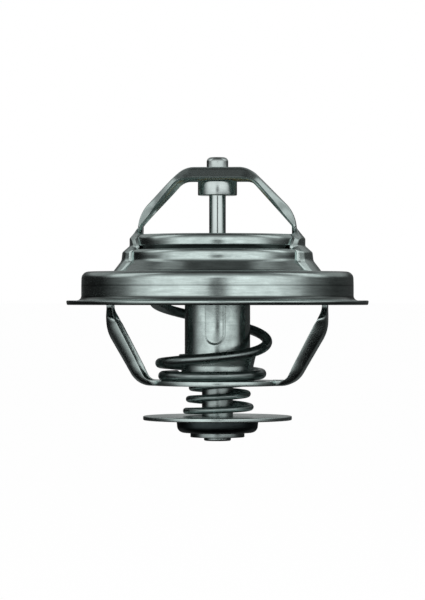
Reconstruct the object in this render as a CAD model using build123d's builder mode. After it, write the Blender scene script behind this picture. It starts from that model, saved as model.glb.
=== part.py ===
from build123d import *
import math
import os

# Engine thermostat with a wax element, an upper bridge, a lower bracket and a bypass disc.
# Millimetres, +Z up along the axis. The origin is on the axis, in the plane of the flange's underside.
# The bridge and the bracket lie along X.

# Driving dimensions of the housing, a drawn sheet
flange_radius = 33.5
flange_width = 3.3
housing_sheet = 1.0
drum_height = 7.4
drum_corner = 1.6
flange_corner = 1.05
step_width = 1.7
step_rise = 4.9
step_corner = 1.0
step_root = 1.6
ring_radius = 18.35
ring_rise = 3.3
ring_corner = 1.2
groove_depth = 0.75
groove_rise = 0.9
groove_bend = 0.4
seat_width = 3.25
seat_drop = 2.3

# Driving dimensions of the upper bridge, a pressed strap with rounded sides
bridge_height = 30.5
bridge_sheet = 1.05
bridge_half_width = 5.5
bridge_shoulder = 2.0
bridge_depth = 3.05
crown_half_length = 6.9
crown_bend = 5.0
free_edge_half_length = 7.85
free_edge_bend = 3.5
arm_corner_rise = 2.35
arm_bend = 8.0
neck_inset = 0.85
neck_half_width = 3.0
neck_rise = 1.8
neck_narrowing = 2.1
neck_narrowing_end = 0.3
neck_inner_bend = 1.5

# Driving dimensions of the bridge's feet, which wrap the housing's two steps
foot_sheet = 1.15
foot_half_angle = 24.0
foot_neck_drop = 0.3
foot_ring_drop = 0.9
foot_ring_stop = 0.75
foot_step_drop = 0.65
foot_step_taper = 0.1
foot_toe_rise = 2.4
foot_toe_reach = 1.9
foot_tip_rise = 0.05
foot_bends = (0.8, 0.9, 0.5, 0.7, 1.6)
foot_shoulder_drop = 2.6
foot_shoulder_margin = 1.045
foot_shoulder_bend = 0.5

# Driving dimensions of the bush and the piston pin
pin_radius = 1.85
bush_neck_radius = 2.4
bush_shoulder_radius = 3.2
bush_shoulder_length = 2.0
bush_collar_radius = 4.35
bush_collar_length = 3.2
bush_collar_chamfer = 0.15
bush_head_height = 2.25
bush_head_chamfer = 0.65
bush_bore_depth = 5.6
pin_tip_height = -3.5
pin_tip_length = 2.0
pin_tip_radius = 0.9

# Driving dimensions of the wax element
element_radius = 7.26
cup_wall = 0.95
cup_bottom = -16.5
cup_floor = 1.2
cup_corner_radius = 1.0
rim_radius = 9.2
rim_height = 3.6
rim_lip = 0.8
rim_lip_width = 2.3
rim_corner = 0.5
field_width = 4.7
field_depth = 0.18
field_bottom = -8.8
field_top = 4.0
guide_neck_radius = 5.0
guide_top = 15.0
guide_chamfer = 0.4
scraper_radius = 3.2
scraper_height = 1.2
backup_radius = 4.2
backup_height = 0.8
sleeve_wall = 1.7
sleeve_flange = 0.7
sleeve_tip_room = 1.2

# Driving dimensions of the valve plate and its ring
plate_sheet = 1.0
seal_overlap = 1.2
seal_width = 2.2
seal_height = 1.2
lock_ring_radius = 7.2
lock_ring_height = 1.2
seat_gap = 0.05

# Driving dimensions of the lower bracket, a pressed sheet
bracket_sheet = 1.0
base_bottom = -17.8
base_radius = 14.4
neck_wall = 0.68
neck_length = 6.9
neck_flare = 0.6
neck_flare_length = 2.6
neck_flare_bend = 2.0
neck_lip_bend = 0.25
neck_throat_bend = 1.1
neck_root_bend = 0.5
leg_half_width = 5.5
leg_inset = 4.75
leg_shoulder = 2.2
leg_slant = 30.3
leg_top_corner = -5.8
leg_top_bend = 8.0
leg_base_bend = 5.2
leg_depth = 4.2
chord_inset = 1.65
chord_top_height = -2.2
chord_slope = 27.2
tongue_half_width = 3.0
tongue_start = -1.6
tongue_shoulder = 2.0
tongue_reach = 3.8
tongue_bend = 0.5

# Driving dimensions of the main spring. Its radius is a coil's radius at the lower end.
main_wire = 2.2
main_coil_radius = 10.9
main_coil_growth = 1.3
main_coil_offset = 1.15
main_start_angle = 142.0
main_flat_turns = 0.62
main_growing_turns = 2.1
# Share of the lift between the two seats that the wire has reached after each quarter turn
main_lift = (0.0, 0.001, 0.008, 0.035, 0.088, 0.134, 0.21, 0.398, 0.565, 0.717, 0.846, 0.936, 0.982, 1.0, 1.0)

# Driving dimensions of the bypass valve
stem_radius = 3.45
rivet_radius = 3.0
rivet_height = 0.8
rivet_bend = 0.2
spigot_radius = 2.4
disc_radius = 16.5
disc_bottom = -25.5
disc_sheet = 0.9
disc_edge_bend = 0.22
cup_top_radius = 9.1
cup_side_radius = 8.85
cup_depth = 2.8
cup_sheet = 0.9
cup_corner = 1.5
cup_seat_depth = 0.1
washer_radius = 6.0
washer_sheet = 1.0
washer_chamfer = 0.12

# Driving dimensions of the bypass spring
bypass_wire = 1.44
bypass_coil_radius = 7.45
bypass_coil_taper = 0.64
bypass_coil_offset = 0.35
bypass_start_angle = 95.0
# Share of the lift between the two seats that the wire has reached after each quarter turn
bypass_lift = (0.0, 0.06, 0.12, 0.192, 0.32, 0.452, 0.54, 0.628, 0.725, 0.83, 0.93, 0.99, 1.0)

# Both springs sit a little off the axis, along a line turned from X by this angle
coil_offset_angle = 5.0
points_per_turn = 12

# Clearances
running_gap = 0.03
neck_gap = 0.07
disc_gap = 0.06

# Heights and radii that follow from the values above
drum_radius = flange_radius - flange_width
leg_radius = drum_radius - housing_sheet - leg_inset
chord_top_radius = leg_radius - chord_inset
step_height = drum_height + step_rise
ring_height = step_height + ring_rise
step_radius = ring_radius + step_width
seat_radius = ring_radius - seat_width
plate_radius = seat_radius + seal_overlap
neck_radius = ring_radius - neck_inset
neck_height = ring_height + neck_rise
foot_shoulder_half_width = step_radius * math.sin(math.radians(foot_half_angle)) + foot_shoulder_margin
bridge_underside = bridge_height - bridge_sheet
bush_collar_top = bridge_underside - bush_shoulder_length
bush_collar_bottom = bush_collar_top - bush_collar_length
seat_height = ring_height - seat_drop
seal_top = seat_height - seat_gap
plate_top = seal_top - seal_height
plate_bottom = plate_top - plate_sheet
rim_bottom = plate_bottom - rim_height
rim_step = rim_bottom + cup_wall
rim_bore = rim_radius - cup_wall
lip_bottom = plate_bottom - rim_lip
lip_bore = rim_radius - rim_lip_width
guide_bottom = rim_step + sleeve_flange
cup_bore = element_radius - cup_wall
cup_floor_top = cup_bottom + cup_floor
pin_bore = pin_radius + running_gap
sleeve_radius = pin_bore + sleeve_wall
sleeve_bore_end = pin_tip_height - sleeve_tip_room
sleeve_end = sleeve_bore_end - sleeve_wall
base_top = base_bottom + bracket_sheet
neck_top = base_bottom + neck_length
throat_radius = element_radius + neck_gap
housing_shoulder = drum_height - housing_sheet
disc_top = disc_bottom + disc_sheet
stem_shoulder = disc_bottom - cup_depth
stem_bore = stem_radius + disc_gap
cup_seat = disc_bottom + cup_seat_depth
washer_bottom = stem_shoulder - washer_sheet

os.makedirs("parts", exist_ok=True)


def rounded_line(points, radii):
    """A polyline with its corners rounded, for a profile that is drawn in the open sketch line."""
    return FilletPolyline(*points, radius=radii)


def radial_plane(angle):
    """The upright plane through the axis, turned from the plane of the bridge by an angle in degrees."""
    turn = math.radians(angle)
    along = (math.cos(turn), math.sin(turn), 0)
    across = (math.sin(turn), -math.cos(turn), 0)
    return Plane(origin=(0, 0, 0), x_dir=along, z_dir=across)


def largest_circles(builder):
    """The two circular edges of the largest radius: the upper and lower edge of a turned rim."""
    return builder.edges().filter_by(GeomType.CIRCLE).sort_by(SortBy.RADIUS)[-2:]


def coil_points(shares, start, wire, low, high, radius_at, offset):
    """Points of a coil spring's wire centre. The lift is joined smoothly and never falls."""
    lean = math.radians(coil_offset_angle)
    slopes = [0.0]
    for before, here, after in zip(shares, shares[1:], shares[2:]):
        slopes.append(min((after - before) / 2, 3 * (here - before), 3 * (after - here)))
    slopes.append(0.0)
    points = []
    steps = points_per_turn // 4
    for quarter in range(len(shares) - 1):
        last = quarter == len(shares) - 2
        for step in range(steps + 1 if last else steps):
            t = step / steps
            share = (
                shares[quarter] * (1 + 2 * t) * (1 - t) ** 2
                + slopes[quarter] * t * (1 - t) ** 2
                + shares[quarter + 1] * t * t * (3 - 2 * t)
                + slopes[quarter + 1] * t * t * (t - 1)
            )
            turns = (quarter + t) / 4
            angle = math.radians(start) + 2 * math.pi * turns
            radius = radius_at(turns)
            x = radius * math.cos(angle) + offset * math.cos(lean)
            y = radius * math.sin(angle) + offset * math.sin(lean)
            points.append((x, y, low + wire / 2 + share * (high - low - wire)))
    return points


def main_radius(turns):
    """Radius of the main spring after so many turns: it stays, grows and stays again."""
    growing = min(max(turns - main_flat_turns, 0), main_growing_turns)
    return main_coil_radius + main_coil_growth * growing


def bypass_radius(turns):
    """Radius of the bypass spring after so many turns: it shrinks evenly upwards."""
    return bypass_coil_radius - bypass_coil_taper * turns


# The housing's outer face, from the flange's edge to the inner edge of the seat
housing_points = [
    (flange_radius, housing_sheet),
    (drum_radius, housing_sheet),
    (drum_radius, drum_height),
    (step_radius, drum_height),
    (step_radius, step_height),
    (ring_radius - groove_depth, step_height),
    (ring_radius, step_height + groove_rise),
    (ring_radius, ring_height),
    (seat_radius, ring_height),
    (seat_radius, seat_height),
]
housing_bends = [
    flange_corner,
    drum_corner,
    step_root,
    step_corner,
    0,
    groove_bend,
    ring_corner,
    housing_sheet,
]

with BuildPart() as housing:
    with BuildSketch(Plane.XZ):
        with BuildLine():
            rounded_line(housing_points, housing_bends)
            offset(amount=housing_sheet, side=Side.LEFT)
        make_face()
    revolve(axis=Axis.Z)
housing.part.label = "housing"
export_step(housing.part, "parts/housing.step")

# The space inside the housing's outer face, which is cut out of the bridge's feet
with BuildPart() as housing_form:
    with BuildSketch(Plane.XZ):
        with BuildLine():
            outer_face = rounded_line(housing_points, housing_bends)
            Polyline(outer_face @ 1, (0, seat_height), (0, 0), (flange_radius, 0), outer_face @ 0)
        make_face()
    revolve(axis=Axis.Z)

# A foot of the upper bridge: its outer face goes down from the neck over the ring and the step
foot_points = [
    (neck_radius, neck_height + bridge_sheet),
    (neck_radius, neck_height - foot_neck_drop),
    (ring_radius + foot_sheet, ring_height - foot_ring_drop),
    (ring_radius + foot_sheet, step_height + foot_ring_stop),
    (step_radius + foot_sheet - foot_step_taper, step_height - foot_step_drop),
    (step_radius + foot_sheet + foot_step_taper, drum_height + foot_toe_rise),
    (step_radius + foot_sheet + foot_toe_reach, drum_height + foot_tip_rise),
]
foot_inner_radius = neck_radius - bridge_sheet
foot_side_points = [
    (foot_shoulder_half_width, 0),
    (foot_shoulder_half_width, ring_height - foot_shoulder_drop),
    (neck_half_width, neck_height - foot_neck_drop),
    (neck_half_width, bridge_height),
    (-neck_half_width, bridge_height),
    (-neck_half_width, neck_height - foot_neck_drop),
    (-foot_shoulder_half_width, ring_height - foot_shoulder_drop),
    (-foot_shoulder_half_width, 0),
]
foot_side_bends = [foot_shoulder_bend, neck_inner_bend, 0, 0, neck_inner_bend, foot_shoulder_bend]
with BuildPart() as bridge_foot:
    with BuildSketch(radial_plane(-foot_half_angle)):
        with BuildLine():
            foot_face = rounded_line(foot_points, list(foot_bends))
            Polyline(
                foot_face @ 1,
                (seat_radius, drum_height + foot_tip_rise),
                (foot_inner_radius, ring_height),
                (foot_inner_radius, neck_height + bridge_sheet),
                foot_face @ 0,
            )
        make_face()
    revolve(axis=Axis.Z, revolution_arc=2 * foot_half_angle)
    add(housing_form.part, mode=Mode.SUBTRACT)
    # Seen from the side, the foot's shoulders slope up to the neck
    with BuildSketch(Plane.YZ):
        with BuildLine():
            sides = rounded_line(foot_side_points, foot_side_bends)
            Line(sides @ 1, sides @ 0)
        make_face()
    extrude(amount=2 * step_radius, mode=Mode.INTERSECT)

# Upper bridge. Its line is the outer face of the strap, from the middle of the crown to the neck.
bridge_points = [
    (0, bridge_height),
    (crown_half_length, bridge_height),
    (neck_radius, neck_height + arm_corner_rise),
    (neck_radius, ring_height),
]
free_edge_points = [
    (0, bridge_height - bridge_depth),
    (free_edge_half_length, bridge_height - bridge_depth),
    (neck_radius - bridge_sheet, neck_height),
]
channel_points = [
    (-bridge_half_width, -bridge_depth - bridge_sheet),
    (-bridge_half_width, 0),
    (bridge_half_width, 0),
    (bridge_half_width, -bridge_depth - bridge_sheet),
]
narrowing_end = neck_radius - neck_narrowing_end
narrowing_start = narrowing_end - 2 * neck_narrowing
plan_half_width = 2 * bridge_half_width - neck_half_width
plan_points = [
    (-bridge_sheet, plan_half_width),
    (narrowing_start, plan_half_width),
    (narrowing_end, neck_half_width),
    (neck_radius + bridge_sheet, neck_half_width),
    (neck_radius + bridge_sheet, -neck_half_width),
    (narrowing_end, -neck_half_width),
    (narrowing_start, -plan_half_width),
    (-bridge_sheet, -plan_half_width),
]
with BuildLine(Plane.XZ) as bridge_path:
    rounded_line(bridge_points, [crown_bend, arm_bend])
with BuildPart() as upper_bridge:
    with BuildSketch(Plane(origin=(0, 0, bridge_height), x_dir=(0, 1, 0), z_dir=(1, 0, 0))):
        with BuildLine():
            rounded_line(channel_points, [bridge_shoulder, bridge_shoulder])
            offset(amount=bridge_sheet, side=Side.RIGHT)
        make_face()
    sweep(path=bridge_path.line)
    # The sides of the channel are cut back to their free edge
    with BuildSketch(Plane.XZ):
        with BuildLine():
            free_edge = rounded_line(free_edge_points, [free_edge_bend])
            Polyline(free_edge @ 1, (neck_radius - bridge_sheet, 0), (0, 0), free_edge @ 0)
        make_face()
    extrude(amount=bridge_half_width + bridge_sheet, both=True, mode=Mode.SUBTRACT)
    # Seen from above, the strap narrows to its neck
    with BuildSketch(Plane.XY):
        with BuildLine():
            plan = rounded_line(plan_points, [0, neck_inner_bend, 0, 0, neck_inner_bend, 0])
            Line(plan @ 1, plan @ 0)
        make_face()
    extrude(amount=2 * bridge_height, mode=Mode.INTERSECT)
    add(bridge_foot.part)
    mirror(about=Plane.YZ)
    with Locations((0, 0, bridge_height)):
        Hole(radius=bush_neck_radius, depth=bridge_depth)
upper_bridge.part.label = "upper_bridge"
export_step(upper_bridge.part, "parts/upper_bridge.step")

# Bush, with its collar under the channel, a shoulder inside it and its neck riveted over the crown
with BuildPart() as pin_bush:
    with BuildSketch(Plane.XY.offset(bush_collar_bottom)):
        Circle(bush_collar_radius)
    extrude(amount=bush_collar_length)
    chamfer(pin_bush.edges(), bush_collar_chamfer)
    with BuildSketch(Plane.XY.offset(bush_collar_top)):
        Circle(bush_shoulder_radius)
    extrude(amount=bush_shoulder_length)
    with BuildSketch(Plane.XY.offset(bridge_underside)):
        Circle(bush_neck_radius)
    extrude(amount=bridge_sheet + bush_head_height)
    chamfer(pin_bush.edges().group_by(Axis.Z)[-1], bush_head_chamfer)
    with BuildSketch(Plane.XY.offset(bush_collar_bottom)):
        Circle(pin_radius)
    extrude(amount=bush_bore_depth, mode=Mode.SUBTRACT)
pin_bush.part.label = "pin_bush"
export_step(pin_bush.part, "parts/pin_bush.step")

# Piston pin, with a tapered tip in the rubber sleeve
with BuildPart() as piston_pin:
    with BuildSketch(Plane.XZ):
        with BuildLine():
            Polyline(
                (0, pin_tip_height),
                (pin_tip_radius, pin_tip_height),
                (pin_radius, pin_tip_height + pin_tip_length),
                (pin_radius, bush_collar_bottom + bush_bore_depth),
                (0, bush_collar_bottom + bush_bore_depth),
                (0, pin_tip_height),
            )
        make_face()
    revolve(axis=Axis.Z)
piston_pin.part.label = "piston_pin"
export_step(piston_pin.part, "parts/piston_pin.step")

# The pressed field on the front of the cup: a flat-ended shape as deep as its depth all over
with BuildPart() as field_form:
    with BuildSketch(Plane.XZ.offset(cup_bore)):
        with Locations((0, (field_bottom + field_top) / 2)):
            SlotOverall(field_top - field_bottom, field_width, rotation=90)
    extrude(amount=element_radius)
    with BuildSketch(Plane.XY.offset(field_bottom)):
        Circle(element_radius - field_depth)
    extrude(amount=field_top - field_bottom, mode=Mode.SUBTRACT)

# Cup of the wax element: straight body, wide rim, and a lip crimped over the guide
with BuildPart() as element_cup:
    with BuildSketch(Plane.XZ):
        with BuildLine():
            Polyline(
                (0, cup_bottom),
                (element_radius, cup_bottom),
                (element_radius, rim_bottom),
                (rim_radius, rim_bottom),
                (rim_radius, plate_bottom),
                (lip_bore, plate_bottom),
                (lip_bore, lip_bottom),
                (rim_bore, lip_bottom),
                (rim_bore, rim_step),
                (cup_bore, rim_step),
                (cup_bore, cup_floor_top),
                (0, cup_floor_top),
                (0, cup_bottom),
            )
        make_face()
    revolve(axis=Axis.Z)
    fillet(element_cup.edges().group_by(Axis.Z)[0], cup_corner_radius)
    fillet(largest_circles(element_cup), rim_corner)
    add(field_form.part, mode=Mode.SUBTRACT)
element_cup.part.label = "element_cup"
export_step(element_cup.part, "parts/element_cup.step")

# Guide of the piston pin, with a pocket for a ring at each end
with BuildPart() as element_guide:
    with BuildSketch(Plane.XY.offset(guide_bottom)):
        Circle(rim_bore)
    extrude(amount=lip_bottom - guide_bottom)
    with BuildSketch(Plane.XY.offset(lip_bottom)):
        Circle(lip_bore)
    extrude(amount=plate_bottom - lip_bottom)
    with BuildSketch(Plane.XY.offset(plate_bottom)):
        Circle(guide_neck_radius)
    extrude(amount=guide_top - plate_bottom)
    chamfer(element_guide.edges().group_by(Axis.Z)[-1], guide_chamfer)
    with Locations((0, 0, guide_top)):
        CounterBoreHole(
            radius=pin_bore, counter_bore_radius=scraper_radius, counter_bore_depth=scraper_height
        )
    with BuildSketch(Plane.XY.offset(guide_bottom)):
        Circle(backup_radius)
    extrude(amount=backup_height, mode=Mode.SUBTRACT)
element_guide.part.label = "element_guide"
export_step(element_guide.part, "parts/element_guide.step")

with BuildPart() as scraper_ring:
    with BuildSketch(Plane.XY.offset(guide_top - scraper_height)):
        Circle(scraper_radius)
        Circle(pin_bore, mode=Mode.SUBTRACT)
    extrude(amount=scraper_height)
scraper_ring.part.label = "scraper_ring"
export_step(scraper_ring.part, "parts/scraper_ring.step")

with BuildPart() as backup_ring:
    with BuildSketch(Plane.XY.offset(guide_bottom)):
        Circle(backup_radius)
        Circle(pin_bore, mode=Mode.SUBTRACT)
    extrude(amount=backup_height)
backup_ring.part.label = "backup_ring"
export_step(backup_ring.part, "parts/backup_ring.step")

# Rubber sleeve, clamped by its flange between the cup and the guide
with BuildPart() as rubber_sleeve:
    with BuildSketch(Plane.XY.offset(sleeve_end)):
        Circle(sleeve_radius)
    extrude(amount=rim_step - sleeve_end)
    fillet(rubber_sleeve.edges().group_by(Axis.Z)[0], sleeve_wall)
    with BuildSketch(Plane.XY.offset(rim_step)):
        Circle(rim_bore)
    extrude(amount=sleeve_flange)
    with BuildSketch(Plane.XY.offset(sleeve_bore_end)):
        Circle(pin_bore)
    extrude(amount=guide_bottom - sleeve_bore_end, mode=Mode.SUBTRACT)
rubber_sleeve.part.label = "rubber_sleeve"
export_step(rubber_sleeve.part, "parts/rubber_sleeve.step")

with BuildPart() as wax_charge:
    with BuildSketch(Plane.XY.offset(cup_floor_top)):
        Circle(cup_bore)
    extrude(amount=rim_step - cup_floor_top)
    with BuildSketch(Plane.XY.offset(sleeve_end)):
        Circle(sleeve_radius)
    extrude(amount=rim_step - sleeve_end, mode=Mode.SUBTRACT)
    fillet(wax_charge.edges().filter_by(GeomType.CIRCLE).group_by(Axis.Z)[1], sleeve_wall)
wax_charge.part.label = "wax_charge"
export_step(wax_charge.part, "parts/wax_charge.step")

# Valve plate, its rubber ring and the ring that locks it on the guide
with BuildPart() as valve_plate:
    with BuildSketch(Plane.XY.offset(plate_bottom)):
        Circle(plate_radius)
        Circle(guide_neck_radius, mode=Mode.SUBTRACT)
    extrude(amount=plate_sheet)
    fillet(largest_circles(valve_plate), plate_sheet / 4)
valve_plate.part.label = "valve_plate"
export_step(valve_plate.part, "parts/valve_plate.step")

with BuildPart() as valve_seal:
    with BuildSketch(Plane.XY.offset(plate_top)):
        Circle(plate_radius)
        Circle(plate_radius - seal_width, mode=Mode.SUBTRACT)
    extrude(amount=seal_height)
    fillet(valve_seal.edges().group_by(Axis.Z)[-1], seal_height / 4)
valve_seal.part.label = "valve_seal"
export_step(valve_seal.part, "parts/valve_seal.step")

with BuildPart() as plate_ring:
    with BuildSketch(Plane.XY.offset(plate_top)):
        Circle(lock_ring_radius)
        Circle(guide_neck_radius, mode=Mode.SUBTRACT)
    extrude(amount=lock_ring_height)
    chamfer(largest_circles(plate_ring).sort_by(Axis.Z)[-1], lock_ring_height / 4)
plate_ring.part.label = "plate_ring"
export_step(plate_ring.part, "parts/plate_ring.step")

# Lower bracket. A leg's line is the outer face of the pressed channel, from the base to the shoulder.
leg_start = base_radius - leg_half_width
tongue_end = tongue_start + bracket_sheet
leg_base_corner = leg_radius - (leg_top_corner - base_bottom) * math.tan(math.radians(leg_slant))
leg_points = [
    (leg_start, base_bottom),
    (leg_base_corner, base_bottom),
    (leg_radius, leg_top_corner),
    (leg_radius, tongue_end + bracket_sheet),
]
leg_channel_points = [
    (-leg_half_width, leg_depth),
    (-leg_half_width, 0),
    (leg_half_width, 0),
    (leg_half_width, leg_depth),
]
leg_side_half_width = 2 * leg_half_width - tongue_half_width
leg_side_points = [
    (leg_side_half_width, base_bottom - bracket_sheet),
    (leg_side_half_width, tongue_end - 2 * tongue_shoulder),
    (tongue_half_width, tongue_end),
    (-tongue_half_width, tongue_end),
    (-leg_side_half_width, tongue_end - 2 * tongue_shoulder),
    (-leg_side_half_width, base_bottom - bracket_sheet),
]
tongue_points = [
    (leg_radius, tongue_end - bracket_sheet),
    (leg_radius, housing_shoulder - bracket_sheet),
    (leg_radius + tongue_reach, housing_shoulder - bracket_sheet),
]
chord_end = leg_points[-1][1] + bracket_sheet
chord_lean = math.tan(math.radians(chord_slope))
with BuildLine(Plane.XZ) as leg_path:
    rounded_line(leg_points, [leg_base_bend, leg_top_bend])
with BuildPart() as bracket_leg:
    with BuildSketch(Plane(origin=(leg_start, 0, base_bottom), x_dir=(0, 1, 0), z_dir=(1, 0, 0))):
        with BuildLine():
            rounded_line(leg_channel_points, [leg_shoulder, leg_shoulder])
            offset(amount=bracket_sheet, side=Side.LEFT)
        make_face()
    sweep(path=leg_path.line)
    # The sides of the channel end on a straight chord
    with BuildSketch(Plane.XZ):
        with BuildLine():
            Polyline(
                (0, chord_end),
                (chord_top_radius + (chord_end - chord_top_height) * chord_lean, chord_end),
                (chord_top_radius + (base_top - chord_top_height) * chord_lean, base_top),
                (0, base_top),
                (0, chord_end),
            )
        make_face()
    extrude(amount=leg_half_width + bracket_sheet, both=True, mode=Mode.SUBTRACT)
    with BuildSketch(Plane.XZ):
        with BuildLine():
            rounded_line(leg_points, [leg_base_bend, leg_top_bend])
            offset(amount=bracket_sheet, side=Side.LEFT)
        make_face()
    extrude(amount=leg_half_width - leg_shoulder, both=True)
    # Seen from the side, the leg narrows to its tongue
    with BuildSketch(Plane.YZ):
        with BuildLine():
            Polyline(*leg_side_points, leg_side_points[0])
        make_face()
    extrude(amount=2 * leg_radius, mode=Mode.INTERSECT)
    # The tongue goes up inside the drum and turns out under its shoulder
    with BuildSketch(Plane.XZ):
        with BuildLine():
            rounded_line(tongue_points, [tongue_bend])
            offset(amount=bracket_sheet, side=Side.LEFT)
        make_face()
    extrude(amount=tongue_half_width, both=True)
    mirror(about=Plane.YZ)

neck_points = [
    (base_radius, base_bottom),
    (throat_radius, base_bottom),
    (throat_radius, neck_top - neck_flare_length),
    (throat_radius + neck_flare, neck_top),
    (throat_radius + neck_flare + neck_wall, neck_top),
    (throat_radius + neck_wall, neck_top - neck_flare_length),
    (throat_radius + neck_wall, base_top),
    (base_radius, base_top),
]
neck_bends = [
    neck_throat_bend,
    neck_flare_bend,
    neck_lip_bend,
    neck_lip_bend,
    neck_flare_bend,
    neck_root_bend,
]
with BuildPart() as lower_bracket:
    with BuildSketch(Plane.XZ):
        with BuildLine():
            neck = rounded_line(neck_points, neck_bends)
            Line(neck @ 1, neck @ 0)
        make_face()
    revolve(axis=Axis.Z)
    add(bracket_leg.part)
lower_bracket.part.label = "lower_bracket"
export_step(lower_bracket.part, "parts/lower_bracket.step")

# Main spring, from the bracket's base to the valve plate
with BuildPart() as main_spring:
    with BuildLine() as main_line:
        Spline(
            *coil_points(
                main_lift,
                main_start_angle,
                main_wire,
                base_top,
                plate_bottom,
                main_radius,
                -main_coil_offset,
            )
        )
    with BuildSketch(Plane(origin=main_line.line @ 0, z_dir=main_line.line % 0)):
        Circle(main_wire / 2)
    sweep(path=main_line.line)
main_spring.part.label = "main_spring"
export_step(main_spring.part, "parts/main_spring.step")

# Stem of the bypass valve, with its riveted end
with BuildPart() as bypass_stem:
    with BuildSketch(Plane.XY.offset(stem_shoulder)):
        Circle(stem_radius)
    extrude(amount=cup_bottom - stem_shoulder)
    with BuildSketch(Plane.XY.offset(washer_bottom)):
        Circle(spigot_radius)
    extrude(amount=washer_sheet)
    with BuildSketch(Plane.XY.offset(washer_bottom - rivet_height)):
        Circle(rivet_radius)
    extrude(amount=rivet_height)
    fillet(bypass_stem.edges().group_by(Axis.Z)[0], rivet_bend)
bypass_stem.part.label = "bypass_stem"
export_step(bypass_stem.part, "parts/bypass_stem.step")

# Bypass spring, from the disc to the bottom of the cup
with BuildPart() as bypass_spring:
    with BuildLine() as bypass_line:
        Spline(
            *coil_points(
                bypass_lift,
                bypass_start_angle,
                bypass_wire,
                disc_top,
                cup_bottom,
                bypass_radius,
                bypass_coil_offset,
            )
        )
    with BuildSketch(Plane(origin=bypass_line.line @ 0, z_dir=bypass_line.line % 0)):
        Circle(bypass_wire / 2)
    sweep(path=bypass_line.line)
bypass_spring.part.label = "bypass_spring"
export_step(bypass_spring.part, "parts/bypass_spring.step")

# Bypass disc and the cup under it, both free to slide on the stem
with BuildPart() as bypass_disc:
    with BuildSketch(Plane.XY.offset(disc_bottom)):
        Circle(disc_radius)
        Circle(stem_bore, mode=Mode.SUBTRACT)
    extrude(amount=disc_sheet)
    fillet(largest_circles(bypass_disc), disc_edge_bend)
    # A shallow seat in the underside takes the rim of the cup
    with BuildSketch(Plane.XY.offset(disc_bottom)):
        Circle(cup_top_radius + running_gap)
    extrude(amount=cup_seat_depth, mode=Mode.SUBTRACT)
bypass_disc.part.label = "bypass_disc"
export_step(bypass_disc.part, "parts/bypass_disc.step")

disc_cup_points = [
    (cup_top_radius, cup_seat),
    (cup_side_radius, stem_shoulder),
    (stem_bore, stem_shoulder),
]
with BuildPart() as disc_cup:
    with BuildSketch(Plane.XZ):
        with BuildLine():
            rounded_line(disc_cup_points, [cup_corner])
            offset(amount=cup_sheet, side=Side.RIGHT)
        make_face()
    revolve(axis=Axis.Z)
    split(bisect_by=Plane.XY.offset(cup_seat), keep=Keep.BOTTOM)
disc_cup.part.label = "disc_cup"
export_step(disc_cup.part, "parts/disc_cup.step")

with BuildPart() as retaining_washer:
    with BuildSketch(Plane.XY.offset(washer_bottom)):
        Circle(washer_radius)
        Circle(spigot_radius, mode=Mode.SUBTRACT)
    extrude(amount=washer_sheet)
    chamfer(largest_circles(retaining_washer), washer_chamfer)
retaining_washer.part.label = "retaining_washer"
export_step(retaining_washer.part, "parts/retaining_washer.step")
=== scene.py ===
"""Engine thermostat: the visible surfaces, their finishes and the studio, built round the packed model."""

import math

import bmesh
import bpy
import numpy as np
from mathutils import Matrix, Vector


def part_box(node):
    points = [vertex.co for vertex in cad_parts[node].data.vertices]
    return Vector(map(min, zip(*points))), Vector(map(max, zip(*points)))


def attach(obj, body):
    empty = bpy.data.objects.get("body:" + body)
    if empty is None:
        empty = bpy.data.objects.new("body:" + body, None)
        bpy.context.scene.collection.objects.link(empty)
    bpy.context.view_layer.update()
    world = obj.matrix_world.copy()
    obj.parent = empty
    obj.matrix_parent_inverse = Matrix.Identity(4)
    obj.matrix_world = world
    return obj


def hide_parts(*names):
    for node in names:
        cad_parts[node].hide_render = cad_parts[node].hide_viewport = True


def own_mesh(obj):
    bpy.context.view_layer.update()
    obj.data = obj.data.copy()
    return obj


bl_info = {
    "name": "Engine Thermostat",
    "version": (1, 0, 0),
    "blender": (4, 5, 0),
    "location": "3D View > Sidebar > Thermostat",
    "description": "Makes the surfaces, finishes and studio of an engine thermostat",
    "category": "Add Mesh",
}

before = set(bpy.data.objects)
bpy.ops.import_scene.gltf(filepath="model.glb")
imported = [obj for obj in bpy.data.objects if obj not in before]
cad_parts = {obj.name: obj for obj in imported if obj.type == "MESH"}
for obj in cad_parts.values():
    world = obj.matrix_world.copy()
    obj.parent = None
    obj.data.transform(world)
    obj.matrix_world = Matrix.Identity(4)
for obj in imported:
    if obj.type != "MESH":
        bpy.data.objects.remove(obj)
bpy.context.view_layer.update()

MM = 0.001
ROUND_STEPS = 256  # points round a turned piece
BEND_STEPS = 10  # steps of a rounded corner
SKIN = 0.02 * MM  # by this much faces that would lie in one plane are moved apart


def box_size(node, axis):
    """Size of a packed node along an axis, in metres."""
    low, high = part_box(node)
    return high[axis] - low[axis]


def heights(node):
    """Lower and upper end of a packed node."""
    low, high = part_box(node)
    return low.z, high.z


def length(name, description, default):
    """A length that the user can set. The default is in metres."""
    return bpy.props.FloatProperty(name=name, description=description, default=default, unit="LENGTH", precision=5)


def tilt(name, description, degrees):
    """An angle that the user can set. The default is given in degrees."""
    return bpy.props.FloatProperty(
        name=name, description=description, default=math.radians(degrees), subtype="ANGLE"
    )


def colour(name, description, default):
    """A colour that the user can set, given as sRGB hex."""
    return bpy.props.FloatVectorProperty(
        name=name, description=description, default=linear(default), subtype="COLOR", size=3, min=0, max=1
    )


def linear(code):
    """Turns an sRGB hex colour such as "#C5D9D6" into linear red, green and blue."""
    return tuple(light_of(np.array([int(code[i : i + 2], 16) for i in (1, 3, 5)])).tolist())


def light_of(level):
    """Linear light of display levels from 0 to 255."""
    share = level / 255
    return np.where(share <= 0.04045, share / 12.92, ((share + 0.055) / 1.055) ** 2.4)


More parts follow.
